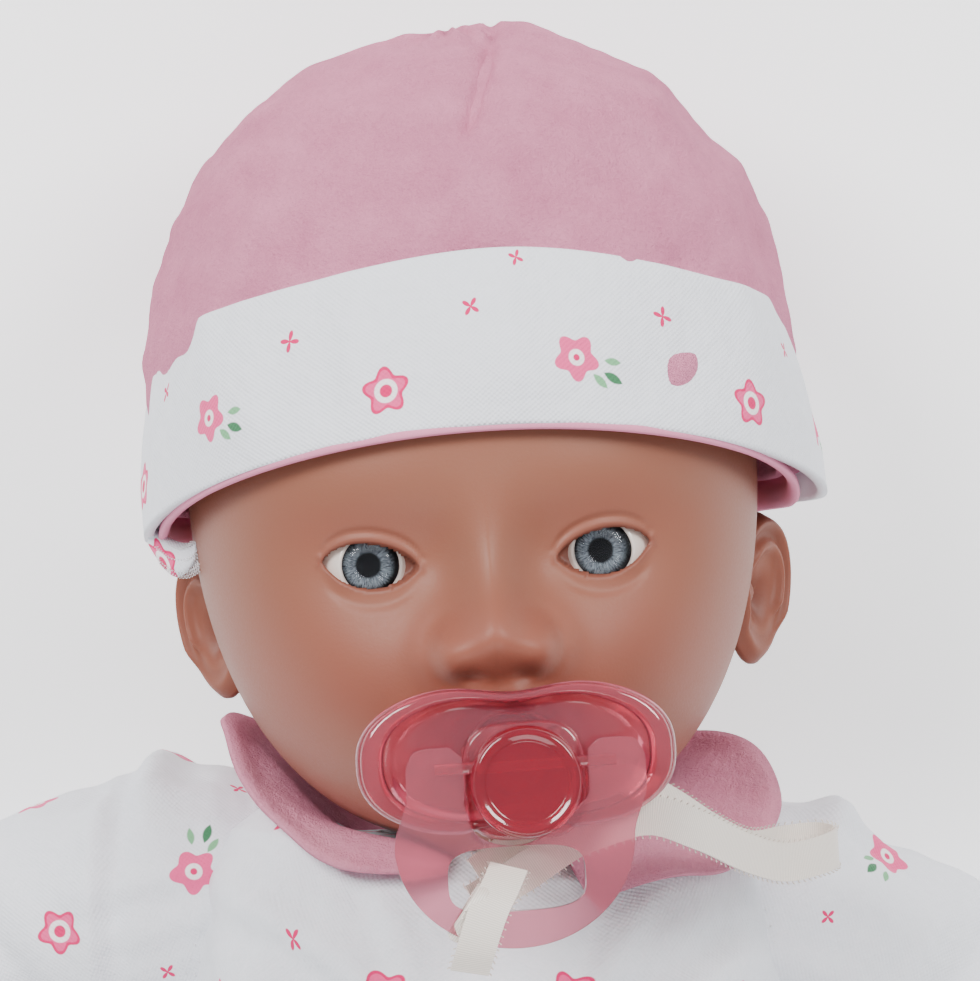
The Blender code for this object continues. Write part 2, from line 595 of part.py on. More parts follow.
# Sound unit
def make_sound_unit():
    low, high = CASE_LOW, CASE_HIGH
    wall = Vector((CASE_WALL, CASE_WALL, CASE_WALL))
    cavity = guide(box("case_cavity", low + wall, high - wall, None))
    back = box("sound_case_back", low, (high.x, high.y, SIDE_SEAM - GAP / 2), WHITE_PLASTIC)
    front = box("sound_case_front", (low.x, low.y, SIDE_SEAM + GAP / 2), high, WHITE_PLASTIC)
    boolean(back, cavity)
    boolean(front, cavity)
    door_low, door_high = Vector((-29, -29, low.z)), Vector((9, 19, low.z + CASE_WALL))
    boolean(back, guide(box("door_room", door_low - Vector((GAP, GAP, 1)),
                            door_high + Vector((GAP, GAP, 1)), None)))
    door = box("battery_door", door_low, door_high, WHITE_PLASTIC)
    screw = Vector((-16.25, 15.5, low.z))
    boolean(door, guide(rod("screw_room", screw, (0, 0, 1), -2, 6, 2.3, None, None, 16)))
    turned("door_screw", screw, (0, 0, 1), [(0.1, 0), (0.1, 2.0), (1.9, 2.0), (2.0, 1.2), (3.4, 1.2),
                                            (4.0, 0)], STEEL, None, 16)
    for i in range(3):
        middle = Vector((-22.0 + 11.5 * i, -5.0, low.z + CASE_WALL + BATTERY_RADIUS + GAP))
        half = BATTERY_LENGTH / 2
        cell = [(-half, 0), (-half, BATTERY_RADIUS), (half - 1.2, BATTERY_RADIUS), (half - 1.2, 1.9),
                (half, 1.9), (half, 0)]
        turned(f"battery_{i + 1}", middle, (0, 1 if i % 2 else -1, 0), cell, STEEL, None, 16)
    for word, y in (("low", -30.2), ("high", 18.6)):
        box(f"battery_contact_{word}", (-28, y, 20), (7, y + 1.0, 30), STEEL)
    box("circuit_board", (8.5, -30, 27), (30, 16, 28.6), BOARD_GREEN)
    slot_x = 19.0
    boolean(back, guide(box("switch_slot", (slot_x - 5.5, -14, low.z - 1), (slot_x + 5.5, -8, low.z + 3),
                            None)))
    box("power_switch", (slot_x - 5.2, -13.6, low.z - 1.6), (slot_x + 1.8, -8.4, low.z + 4.0), GREY_PLASTIC)
    speaker = Vector((-12.0, -5.0, 0))
    basket = [(33.5, 9.5), (33.5, 8.6), (41.0, 16.6), (43.0, 16.6), (43.0, 18.0), (40.6, 18.0)]
    turned("speaker_frame", speaker, (0, 0, 1), basket, STEEL, None, 24, True)
    cone = [(38.6, 0), (38.6, 4.0), (43.0, 15.8), (44.2, 15.8), (40.0, 4.0), (40.0, 0)]
    turned("speaker_cone", speaker, (0, 0, 1), cone, PAPER_CONE, None, 24)
    rod("speaker_magnet", speaker, (0, 0, 1), 31.0, 36.0, 7.4, STEEL)
    boolean(front, guide(rod("button_hole", BUTTON, (0, 0, 1), -2, 6, 4.4, None)))
    for k in range(6):
        angle = math.pi * k / 3
        place = speaker + Vector((9 * math.cos(angle), 9 * math.sin(angle), 42))
        boolean(front, guide(rod(f"sound_hole_{k + 1}", place, (0, 0, 1), 0, 8, 2.4, None, None, 10)))
    stem = [(-4.0, 0), (-4.0, 4.0), (6.5, 4.0), (6.5, 8.2), (14.5, 8.2), (16.0, 6.5), (16.0, 0)]
    turned("press_button", BUTTON, (0, 0, 1), stem, PLASTIC_ROSE, None, 24)


def main():
    clear_scene()
    head_turn = Matrix.Rotation(math.radians(HEAD_ROLL), 3, "Z") @ Matrix.Rotation(math.radians(HEAD_YAW),
                                                                                   3, "Y")
    head = empty("neck_axis", NECK, head_turn)
    limbs = {}
    for word in ("left", "right"):
        limbs[f"shoulder_{word}"] = empty(f"shoulder_axis_{word}", *limb_frame(*SHOULDERS[word], ARM_DROOP))
        limbs[f"hip_{word}"] = empty(f"hip_axis_{word}", *limb_frame(*HIPS[word], LEG_DROOP))
    make_head(head)
    make_eyes(head)
    make_mouth(head)
    make_hat(head)
    handle = bpy.data.objects.new("handle_axis", None)
    bpy.context.collection.objects.link(handle)
    handle.parent = head
    handle.location = make_pacifier(head, handle) * MM
    make_ribbon(head, handle)
    make_torso(head, limbs)
    make_collar(head)
    make_sound_unit()
    make_limbs(limbs)


main()
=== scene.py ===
# %% [markdown]
# # A baby doll in a romper, a fleece hat and a pacifier
#
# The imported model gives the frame: every hinge, slide and solid in its real place. This script
# dresses that frame. Lengths are written in millimetres and become metres when a mesh is made.

# %% Load the frame
import json
import math

import bmesh
import bpy
import numpy as np
from mathutils import Matrix, Vector


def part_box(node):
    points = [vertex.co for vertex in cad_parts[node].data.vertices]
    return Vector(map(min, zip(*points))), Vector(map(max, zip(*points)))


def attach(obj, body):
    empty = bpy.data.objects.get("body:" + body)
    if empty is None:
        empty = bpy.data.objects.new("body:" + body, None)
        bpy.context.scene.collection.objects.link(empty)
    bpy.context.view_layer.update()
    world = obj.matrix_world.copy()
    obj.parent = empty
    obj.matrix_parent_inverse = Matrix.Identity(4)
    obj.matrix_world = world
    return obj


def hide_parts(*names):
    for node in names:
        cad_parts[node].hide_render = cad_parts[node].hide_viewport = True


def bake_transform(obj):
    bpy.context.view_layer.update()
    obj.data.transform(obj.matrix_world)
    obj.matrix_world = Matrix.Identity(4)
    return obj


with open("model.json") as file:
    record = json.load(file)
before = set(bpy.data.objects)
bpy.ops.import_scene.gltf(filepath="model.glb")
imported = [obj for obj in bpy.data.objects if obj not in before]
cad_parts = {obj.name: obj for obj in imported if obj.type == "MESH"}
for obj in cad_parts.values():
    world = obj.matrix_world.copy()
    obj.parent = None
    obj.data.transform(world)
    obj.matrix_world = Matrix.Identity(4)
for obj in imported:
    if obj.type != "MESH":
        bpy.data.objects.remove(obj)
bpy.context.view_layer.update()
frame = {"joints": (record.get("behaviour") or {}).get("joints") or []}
joints = {joint["name"]: joint for joint in frame["joints"]}
print("joints:", ", ".join(joints))

# %% [markdown]
# The head has its own axes. Up runs along the neck, front runs out through the mouth, and side
# points to the doll's left. The limbs have axes too, worked out from their hinges, so that each
# sleeve can be drawn as if it lay straight along X.

# %% Axes of the head and the limbs
MM = 0.001


def joint_point(name):
    return np.array(joints[name]["pos_m"]) / MM


neck = joint_point("neck_turn")
head_up = np.array(joints["neck_turn"]["axis"])
head_front = np.array(joints["pacifier_pull"]["axis"])
head_side = np.cross(head_up, head_front)
HEAD_AXES = (neck, np.array([head_side, head_up, head_front]))
handle_pin = joint_point("handle_swing")
HANDLE_AXES = (handle_pin, HEAD_AXES[1])
WORLD_AXES = (np.zeros(3), np.eye(3))


def limb_axes(joint, node, droop):
    """Axes with +X down the limb, -Y along its hinge and +Z up, leaning down by the droop angle."""
    hinge = np.array(joints[joint]["axis"])
    level = np.cross(hinge, [0, 0, 1.0])
    level = -level if np.dot(level, np.mean(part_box(node), axis=0) / MM - joint_point(joint)) < 0 else level
    lean = math.radians(droop)
    along = level * math.cos(lean) - np.array([0, 0, 1.0]) * math.sin(lean)
    across = np.cross([0, 0, 1.0], level)
    return joint_point(joint), np.array([along, across, np.cross(along, across)])


ARMS = {word: limb_axes(f"shoulder_{word}", f"arm_{word}", 11.0) for word in ("left", "right")}
LEGS = {word: limb_axes(f"hip_{word}", f"leg_{word}", 6.5) for word in ("left", "right")}
print("neck at", np.round(neck, 1), "arm runs", np.round(ARMS["left"][1][0], 2))

# %% [markdown]
# Most pieces here are skins over a grid of points: rows of rings, closed round and capped at the
# poles. One helper turns such a grid into a clean mesh whose faces point outwards, with a UV map
# in millimetres of cloth so that a print keeps its size on every piece.

# %% Mesh helpers
def to_world(points, axes):
    origin, basis = axes
    return np.asarray(points, dtype=float) @ basis + origin


def finish_mesh(name, verts, faces, loop_uv, finish, smooth=True):
    mesh = bpy.data.meshes.new(name)
    mesh.from_pydata((np.asarray(verts) * MM).tolist(), [], faces)
    if loop_uv is not None:
        layer = mesh.uv_layers.new(name="cloth")
        layer.data.foreach_set("uv", np.asarray(loop_uv, dtype=np.float32).ravel())
    if smooth:
        mesh.shade_smooth()
    mesh.materials.append(finish)
    item = bpy.data.objects.new(name, mesh)
    bpy.context.scene.collection.objects.link(item)
    return item


def signed_volume(verts, faces):
    total = 0.0
    corner = np.array([[f[0], f[k], f[k + 1]] for f in faces for k in range(1, len(f) - 1)])
    a, b, c = verts[corner[:, 0]], verts[corner[:, 1]], verts[corner[:, 2]]
    total = np.einsum("ij,ij->i", a, np.cross(b, c)).sum()
    return total


def skin(name, points, axes, finish, uv=None, wrap=True, poles=(True, True), loop=False):
    """A mesh over a grid of points (rows, columns, 3). uv is a grid of the same rows and one more column."""
    points = np.asarray(points, dtype=float)
    rows, columns = points.shape[:2]
    verts = points.reshape(-1, 3)
    faces, cells = [], []
    last_row = rows if loop else rows - 1
    last_column = columns if wrap else columns - 1
    for i in range(last_row):
        a, b = i * columns, ((i + 1) % rows) * columns
        for j in range(last_column):
            k = (j + 1) % columns
            faces.append((a + j, a + k, b + k, b + j))
            cells.append(((i, j), (i, j + 1), (i + 1, j + 1), (i + 1, j)))
    extra = []
    for end, closed in ((0, poles[0]), (rows - 1, poles[1])):
        if closed and wrap and not loop:
            pole = len(verts) + len(extra)
            extra.append(points[end].mean(axis=0))
            for j in range(columns):
                k = (j + 1) % columns
                ring = (end * columns + j, pole, end * columns + k)
                cell = ((end, j), (end, j), (end, j + 1))
                faces.append(ring if end == 0 else ring[::-1])
                cells.append(cell if end == 0 else cell[::-1])
    if extra:
        verts = np.vstack([verts, extra])
    verts = to_world(verts, axes)
    flip = signed_volume(verts - verts.mean(axis=0), faces) < 0
    if flip:
        faces = [face[::-1] for face in faces]
        cells = [cell[::-1] for cell in cells]
    loop_uv = None
    if uv is not None:
        uv = np.asarray(uv, dtype=float)
        loop_uv = [uv[min(i, uv.shape[0] - 1), min(j, uv.shape[1] - 1)] for cell in cells for i, j in cell]
    return finish_mesh(name, verts, faces, loop_uv, finish)


def cloth_uv(points, wrap=True):
    """Distances along the cloth, round each ring and down the rows."""
    points = np.asarray(points)
    ring = np.concatenate([points, points[:, :1]], axis=1) if wrap else points
    middle = ring[len(ring) // 2]
    around = np.concatenate([[0], np.cumsum(np.linalg.norm(np.diff(middle, axis=0), axis=1))])
    down = np.concatenate([[0], np.cumsum(np.linalg.norm(np.diff(points[:, 0], axis=0), axis=1))])
    return np.stack(np.broadcast_arrays(around[None, :], down[:, None]), axis=2)


def smoothstep(low, high, x):
    t = np.clip((x - low) / (high - low), 0, 1)
    return t * t * (3 - 2 * t)


def hill(x, y, middle, width, height, tall=None):
    """A smooth round rise on a surface, or an oval one where tall is given."""
    tall = width if tall is None else tall
    return height * np.exp(-((x - middle[0]) / width) ** 2 / 2 - ((y - middle[1]) / tall) ** 2 / 2)


def waves(points, seed, length, count=9):
    """Smooth random unevenness between about -1 and 1, from a few sine waves in random directions."""
    chance = np.random.default_rng(seed)
    total = 0
    for _ in range(count):
        way = chance.normal(size=3)
        way /= np.linalg.norm(way)
        size = 2 * math.pi / (length * chance.uniform(0.6, 1.6))
        total = total + np.sin(points @ way * size + chance.uniform(0, 6.28))
    return total / count ** 0.5 / 1.6


print("helpers ready")

# %% [markdown]
# A finish is a small graph of shader nodes. Writing one by hand means many links, so two classes
# help. A wire is a number that flows between nodes, and adding or multiplying wires adds Math
# nodes. A finish makes any other node from its type, its settings and what goes into its sockets.

# %% Shader helpers
class Wire:
    """A value flowing out of a socket. Arithmetic on it adds Math nodes."""

    def __init__(self, finish, socket):
        self.finish = finish
        self.socket = socket

    def math(self, operation, *others, clamp=False):
        values = {i: value for i, value in enumerate((self, *others))}
        return self.finish.node("ShaderNodeMath", {"operation": operation, "use_clamp": clamp}, values)[0]

    def __add__(self, other):
        return self.math("ADD", other)

    def __sub__(self, other):
        return self.math("SUBTRACT", other)

    def __rsub__(self, other):
        return self.finish.node("ShaderNodeMath", {"operation": "SUBTRACT"}, {0: other, 1: self})[0]

    def __mul__(self, other):
        return self.math("MULTIPLY", other)

    def __truediv__(self, other):
        return self.math("DIVIDE", other)

    def __pow__(self, other):
        return self.math("POWER", other)

    __radd__ = __add__
    __rmul__ = __mul__

    def below(self, edge, soft):
        """1 where the value is under the edge, falling to 0 over a soft width."""
        inputs = {"Value": self, "From Min": edge - soft, "From Max": edge + soft}
        inputs |= {"To Min": 1.0, "To Max": 0.0}
        return self.finish.node("ShaderNodeMapRange", {"interpolation_type": "SMOOTHSTEP"}, inputs)[0]

    def above(self, edge, soft):
        inputs = {"Value": self, "From Min": edge - soft, "From Max": edge + soft}
        inputs |= {"To Min": 0.0, "To Max": 1.0}
        return self.finish.node("ShaderNodeMapRange", {"interpolation_type": "SMOOTHSTEP"}, inputs)[0]


class Finish:
    """A material, its Principled shader, and one way to add any other node."""

    def __init__(self, name, **constants):
        self.material = bpy.data.materials.new(name)
        self.material.use_nodes = True
        self.tree = self.material.node_tree
        self.shader = self.tree.nodes["Principled BSDF"]
        for socket, value in constants.items():
            self.shader.inputs[socket.replace("_", " ")].default_value = value

    def node(self, kind, settings=None, inputs=None):
        node = self.tree.nodes.new(kind)
        for key, value in (settings or {}).items():
            if key == "stops":
                self.set_stops(node.color_ramp, value)
            else:
                setattr(node, key, value)
        for key, value in (inputs or {}).items():
            if isinstance(value, Wire):
                self.tree.links.new(value.socket, node.inputs[key])
            else:
                node.inputs[key].default_value = value
        return [Wire(self, socket) for socket in node.outputs if socket.enabled]

    def set_stops(self, ramp, stops):
        while len(ramp.elements) < len(stops):
            ramp.elements.new(0.5)
        for element, (place, colour) in zip(ramp.elements, stops):
            element.position = place
            element.color = (*colour, 1)

    def drive(self, socket, wire):
        self.tree.links.new(wire.socket, self.shader.inputs[socket])

    def mix(self, factor, first, second, blend="MIX"):
        colours = [(*c, 1) if isinstance(c, tuple) else c for c in (first, second)]
        inputs = {0: factor, 6: colours[0], 7: colours[1]}
        return self.node("ShaderNodeMix", {"data_type": "RGBA", "blend_type": blend}, inputs)[0]

    def place(self):
        """Object coordinates in millimetres."""
        wires = self.node("ShaderNodeTexCoord")
        return self.vector("SCALE", wires[3], Scale=1000.0)

    def cloth(self):
        """The piece's own map, in millimetres of cloth."""
        return self.node("ShaderNodeUVMap", {"uv_map": "cloth"})[0]

    def vector(self, operation, *values, **named):
        inputs = {**dict(enumerate(values)), **named}
        return self.node("ShaderNodeVectorMath", {"operation": operation}, inputs)[0]

    def parts(self, vector):
        return self.node("ShaderNodeSeparateXYZ", None, {0: vector})

    def noise(self, vector, scale, detail=2.0, roughness=0.5):
        inputs = {"Vector": vector, "Scale": scale, "Detail": detail, "Roughness": roughness}
        return self.node("ShaderNodeTexNoise", {"noise_dimensions": "3D"}, inputs)[0]

    def attribute(self, name):
        return self.node("ShaderNodeAttribute", {"attribute_name": name})[2]

    def bump(self, height, distance, strength=1.0):
        inputs = {"Height": height, "Distance": distance * MM, "Strength": strength}
        self.drive("Normal", self.node("ShaderNodeBump", None, inputs)[0])


def linear(red, green, blue):
    """Screen colours from 0 to 255 as the linear values that shaders take."""
    return tuple((c / 255 / 12.92) if c <= 10 else ((c / 255 + 0.055) / 1.055) ** 2.4
                 for c in (red, green, blue))


print("shader helpers ready")

# %% [markdown]
# Vinyl skin is a soft plastic with colour in it, sprayed with blush on the cheeks, nose and lids.
# The mesh carries how much blush each point gets. Its deep attribute carries how much painted shade
# darkens the hollows and creases. A little light is let in under the surface.

# %% Vinyl skin
SKIN = linear(134, 85, 65)
SKIN_BLUSH = linear(139, 76, 60)
# Painted shade colour: the skin darkens towards it in hollows and creases.
SKIN_PAINTED_SHADE = linear(104, 54, 44)


def make_vinyl_skin():
    finish = Finish("vinyl skin", Roughness=0.42, Subsurface_Weight=0.07, Subsurface_Scale=0.004,
                    Coat_Roughness=0.35, Specular_IOR_Level=0.36)
    finish.shader.inputs["Subsurface Radius"].default_value = (1.0, 0.35, 0.2)
    place = finish.place()
    mottle = finish.noise(place, 0.09, 4.0)
    blush = finish.attribute("blush")
    # The deep attribute is painted shade. It darkens the skin in hollows and creases.
    deep = finish.attribute("deep")
    colour = finish.mix((blush + (mottle - 0.5) * 0.35).math("MINIMUM", 1.0), SKIN, SKIN_BLUSH)
    finish.drive("Base Color", finish.mix(deep, colour, SKIN_PAINTED_SHADE))
    grain = finish.noise(place, 2.2, 3.0)
    finish.drive("Roughness", grain * 0.16 + 0.42)
    finish.bump(grain, 0.06, 0.5)
    return finish.material


VINYL_SKIN = make_vinyl_skin()
print("finish:", VINYL_SKIN.name)

# %% [markdown]
# Fleece and velour are knitted grounds with a brushed pile. Clumps a few millimetres wide catch
# the light differently, fine fibres blur every edge, and sheen lifts the colour at grazing angles.

# %% Fleece and velour
def make_pile(name, light, dark, clump, fuzz, sheen):
    finish = Finish(name, Roughness=0.95, Sheen_Weight=sheen, Sheen_Roughness=0.45, Specular_IOR_Level=0.1)
    finish.shader.inputs["Sheen Tint"].default_value = (*light, 1)
    place = finish.place()
    clumps = finish.noise(place, clump, 3.0, 0.6)
    fibres = finish.noise(place, fuzz, 3.0, 0.7)
    patches = finish.noise(place, clump * 0.12, 2.0)
    shade = (clumps - 0.5) * 0.5 + (fibres - 0.5) * 0.9 + (patches - 0.5) * 0.9 + 0.55
    finish.drive("Base Color", finish.mix(shade.math("MAXIMUM", 0.0), dark, light))
    finish.bump(clumps + fibres * 0.7, 1.0, 0.9)
    return finish.material


FLEECE = make_pile("fleece", linear(236, 151, 180), linear(200, 114, 144), 1.1, 3.2, 0.3)
VELOUR = make_pile("velour", linear(240, 162, 184), linear(212, 122, 150), 0.6, 3.0, 0.35)
print("finishes:", FLEECE.name, VELOUR.name)

# %% [markdown]
# The romper and the hat's cuff are white interlock with a printed repeat: pink flowers with a leaf
# sprig, ringed flowers, and little stars. Each motif is drawn once per repeat of the cloth. Its
# place wraps round the repeat's edge, so no motif is ever cut off.

# %% Printed interlock
REPEAT = (62.0, 50.0)
CLOTH_WHITE = linear(238, 239, 245)
PETAL_PINK = linear(236, 88, 140)
PETAL_EDGE = linear(220, 38, 104)
LEAF_LIGHT = linear(120, 178, 130)
LEAF_DARK = linear(66, 122, 84)
HEART_WHITE = linear(250, 240, 240)
MOTIFS = (
    ("sprig", 11.0, 12.0, 0.3, 3.7), ("ring", 43.0, 9.0, 0.9, 3.8), ("star", 27.0, 20.0, 0.2, 1.7),
    ("sprig", 47.0, 35.0, 2.2, 4.0), ("ring", 17.0, 38.0, 0.1, 3.9), ("star", 57.0, 20.0, 0.6, 1.5),
    ("star", 32.0, 44.0, 0.9, 1.4), ("star", 3.0, 27.0, 0.4, 1.3),
)


def motif_place(finish, cloth, x, y):
    """Where a point lies from the nearest copy of a motif, in millimetres: x, y, distance and angle."""
    size = (*REPEAT, 1.0)
    offset = finish.vector("SUBTRACT", cloth, (x, y, 0.0))
    share = finish.vector("DIVIDE", offset, size)
    wrapped = finish.vector("FRACTION", finish.vector("ADD", share, (0.5, 0.5, 0.0)))
    local = finish.vector("MULTIPLY", finish.vector("SUBTRACT", wrapped, (0.5, 0.5, 0.0)), size)
    across, up, _ = finish.parts(local)
    distance = (across * across + up * up).math("SQRT")
    return across, up, distance, up.math("ARCTAN2", across)


def petal_radius(angle, turn, size, petals=5, depth=0.15):
    lobes = ((angle + turn) * petals).math("COSINE")
    return (lobes * depth + (1 - depth)) * size


def leaf_mask(across, up, turn, reach, size):
    """A pointed oval leaf that starts beside the flower."""
    c, s = math.cos(turn), math.sin(turn)
    along = across * c + up * s - reach
    aside = (up * c - across * s).math("ABSOLUTE")
    width = (1 - (along / size) * (along / size)) * (0.42 * size)
    return (width - aside).above(0.0, 0.15)


def make_printed_knit():
    finish = Finish("printed interlock", Roughness=0.9, Sheen_Weight=0.15, Sheen_Roughness=0.5,
                    Specular_IOR_Level=0.15)
    cloth = finish.cloth()
    wobble = finish.noise(finish.place(), 0.5, 2.0)
    colour = finish.mix(wobble, CLOTH_WHITE, tuple(c * 0.93 for c in CLOTH_WHITE))
    for kind, x, y, turn, size in MOTIFS:
        across, up, distance, angle = motif_place(finish, cloth, x, y)
        soft = 0.12
        if kind == "star":
            star = petal_radius(angle, turn, size, 4, 0.45)
            colour = finish.mix((distance - star).below(0.0, soft), colour, PETAL_EDGE)
            continue
        petals = petal_radius(angle, turn, size)
        if kind == "sprig":
            for lean, reach, length, green in ((-0.75, 1.35, 1.5, LEAF_LIGHT), (-0.45, 1.75, 1.7, LEAF_DARK),
                                               (-0.05, 1.6, 1.4, LEAF_LIGHT)):
                leaf = leaf_mask(across, up, lean, size * reach, length)
                colour = finish.mix(leaf, colour, green)
            colour = finish.mix((distance - petals).below(0.0, soft), colour, PETAL_PINK)
            colour = finish.mix(distance.below(size * 0.34, soft), colour, HEART_WHITE)
            colour = finish.mix(distance.below(size * 0.14, soft), colour, PETAL_EDGE)
        else:
            colour = finish.mix((distance - petals).below(0.0, soft), colour, PETAL_EDGE)
            colour = finish.mix((distance - petals).below(-0.55, soft), colour, PETAL_PINK)
            colour = finish.mix(distance.below(size * 0.48, soft), colour, HEART_WHITE)
            colour = finish.mix(distance.below(size * 0.26, soft), colour, PETAL_EDGE)
    finish.drive("Base Color", colour)
    across, up, _ = finish.parts(cloth)
    wales = (across * (2 * math.pi / 0.9)).math("SINE")
    courses = (up * (2 * math.pi / 0.75)).math("SINE")
    rumple = finish.noise(finish.place(), 0.35, 3.0)
    finish.bump(wales * courses * 0.3 + rumple * 3.0, 0.2, 0.7)
    return finish.material


PRINTED_KNIT = make_printed_knit()
print("finish:", PRINTED_KNIT.name, "with", len(MOTIFS), "motifs in a repeat")

# %% [markdown]
# The pacifier is moulded in clear rose plastic. Light passes through it, so the skin or the cloth
# behind shows. The ribbon is satin, smooth one way and ribbed the other. Eyes are glossy and wet.

# %% Plastics, satin and eyes
def make_rose_plastic(name, colour, clear, rough=0.12, index=1.46, coat=0.4):
    finish = Finish(name, Roughness=rough, Transmission_Weight=clear, IOR=index, Coat_Weight=coat,
                    Coat_Roughness=0.05)
    cloud = finish.noise(finish.place(), 0.25, 2.0)
    finish.drive("Base Color", finish.mix(cloud, colour, tuple(c * 0.9 for c in colour)))
    return finish.material


def make_plain(name, colour, rough, metal=0.0, grain=1.5, depth=0.04, **more):
    finish = Finish(name, Metallic=metal, **more)
    marks = finish.noise(finish.place(), grain, 4.0)
    finish.drive("Base Color", finish.mix(marks, colour, tuple(c * 0.85 for c in colour)))
    finish.drive("Roughness", marks * 0.2 + (rough - 0.1))
    finish.bump(marks, depth, 0.5)
    return finish.material


def make_satin():
    finish = Finish("satin ribbon", Sheen_Weight=0.3, Sheen_Roughness=0.3, Specular_IOR_Level=0.6)
    across, along, _ = finish.parts(finish.cloth())
    ribs = (along * (2 * math.pi / 0.35)).math("SINE")
    finish.drive("Base Color", finish.mix(ribs * 0.5 + 0.5, linear(236, 226, 214), linear(214, 203, 192)))
    finish.drive("Roughness", ribs * 0.05 + 0.36)
    finish.bump(ribs, 0.03, 0.6)
    return finish.material


ROSE_PLASTIC = make_rose_plastic("rose plastic", linear(238, 126, 146), 0.88)
ROSE_RIM = make_rose_plastic("rose plastic rim", linear(240, 132, 150), 0.86, 0.1)
KNOB_ROSE = make_rose_plastic("deep rose plastic", linear(190, 40, 64), 0.72)
HANDLE_ROSE = make_rose_plastic("pale rose plastic", linear(244, 158, 176), 0.9)
SATIN = make_satin()
EYE_WHITE = make_plain("eye white", linear(222, 208, 198), 0.15, grain=0.4, Coat_Weight=1.0,
                       Coat_Roughness=0.03)
WHITE_PLASTIC = make_plain("white plastic", linear(228, 227, 222), 0.4)
GREY_PLASTIC = make_plain("grey plastic", linear(120, 121, 125), 0.5)
STEEL = make_plain("steel", linear(185, 186, 188), 0.3, 1.0)
CELL_SLEEVE = make_plain("cell sleeve", linear(60, 62, 70), 0.35, 0.6)
BOARD = make_plain("circuit board", linear(30, 105, 60), 0.45)
PAPER_CONE = make_plain("paper cone", linear(45, 45, 46), 0.85, grain=3.0)
BODY_CLOTH = make_plain("body cloth", linear(222, 190, 168), 0.9, grain=4.0, depth=0.15)
STUFFING = make_plain("stuffing", linear(240, 238, 232), 1.0, grain=1.0, depth=0.6)
SILICONE = make_plain("silicone teat", linear(226, 200, 176), 0.3, Transmission_Weight=0.4)
HOOK_TAPE = make_plain("hook tape", linear(235, 235, 238), 0.9, grain=6.0, depth=0.3)
CLEAR = make_rose_plastic("clear cornea", (0.97, 0.98, 1.0), 1.0, 0.02, index=1.16, coat=0.0)
WHITE_THREAD = make_plain("white thread", linear(240, 238, 240), 0.8, grain=5.0)
LINING = make_plain("pink lining", linear(226, 140, 170), 0.9, grain=3.0, depth=0.12)


def make_iris(centre):
    """Printed iris: a black pupil, pale fibres that fan out, and a dark outer ring."""
    finish = Finish("printed iris", Roughness=0.5, Specular_IOR_Level=0.1)
    offset = finish.vector("SUBTRACT", finish.place(), tuple(centre))
    across, up, deep = finish.parts(offset)
    distance = (across * across + up * up).math("SQRT")
    angle = up.math("ARCTAN2", across)
    fan = {0: angle.math("COSINE") * 6, 1: angle.math("SINE") * 6, 2: distance * 0.6}
    spokes = finish.node("ShaderNodeCombineXYZ", None, fan)[0]
    fibres = finish.noise(spokes, 2.2, 4.0, 0.7)
    glow = (fibres - 0.36) * 3.2
    glow = glow.math("MINIMUM", 1.0).math("MAXIMUM", 0.0)
    colour = finish.mix(glow, linear(34, 37, 42), linear(150, 160, 168))
    colour = finish.mix(distance.above(3.6, 0.7), colour, linear(18, 19, 22))
    colour = finish.mix(distance.below(1.95, 0.25), colour, linear(12, 12, 15))
    finish.drive("Base Color", colour)
    return finish.material


print("finishes:", len(bpy.data.materials))

# %% [markdown]
# The head is cast vinyl. Its skin starts as a rounded ellipsoid, and each feature is a smooth rise
# or hollow added to it: brow, sockets, nose, cheeks, mouth and chin. The grid is finest round the
# eyes and mouth. Points near an eyelid's edge slide onto the edge, so that it is cut clean.

# %% Head surface
HEAD_CENTRE = np.array([0.0, 67.0, 8.0])
HEAD_HALF = np.array([46.0, 63.5, 46.0])
HEAD_POWER = 2.3
EYE = np.array([18.2, 49.5, 37.5])
EYE_RADIUS = 9.5
MOUTH = (2.0, 18.6)
MOUTH_RADIUS = 7.6
EYE_SLANT = math.radians(6.0)


def head_base(turn, rise, grow=0.0):
    flat = np.cos(rise)
    unit = np.stack([flat * np.sin(turn), np.sin(rise) + 0 * turn, flat * np.cos(turn)], axis=-1)
    size = (np.abs(unit) ** HEAD_POWER).sum(axis=-1) ** (-1 / HEAD_POWER)
    return HEAD_CENTRE + unit * size[..., None] * (HEAD_HALF + grow)


def eye_place(x, y, side):
    """Distances from an eye's centre along its slant and across it, u pointing to the outer corner."""
    dx, dy = (x - EYE[0] * side) * side, y - EYE[1]
    c, s = math.cos(EYE_SLANT), math.sin(EYE_SLANT)
    return dx * c + dy * s, dy * c - dx * s


def lid_curves(u):
    """Heights of the upper and lower lid edges."""
    share = np.clip(1 - (u / 7.6) ** 2, 0, None)
    upper = 3.5 * share ** 0.62 + 0.25 * np.sin(u / 7.6 * 1.5)
    lower = -3.9 * share ** 0.8
    return upper, lower


def eye_gap(x, y, side):
    """Above 0 inside the eye's opening, about the distance from its edge."""
    u, v = eye_place(x, y, side)
    upper, lower = lid_curves(u)
    inside = np.minimum(upper - v, v - lower)
    outside = 7.6 - np.abs(u)
    return np.where(outside > 0, inside, np.minimum(outside, inside))


def soft_max(a, b, width):
    share = np.clip(0.5 + (a - b) / (2 * width), 0, 1)
    return b * (1 - share) + a * share + width * share * (1 - share)


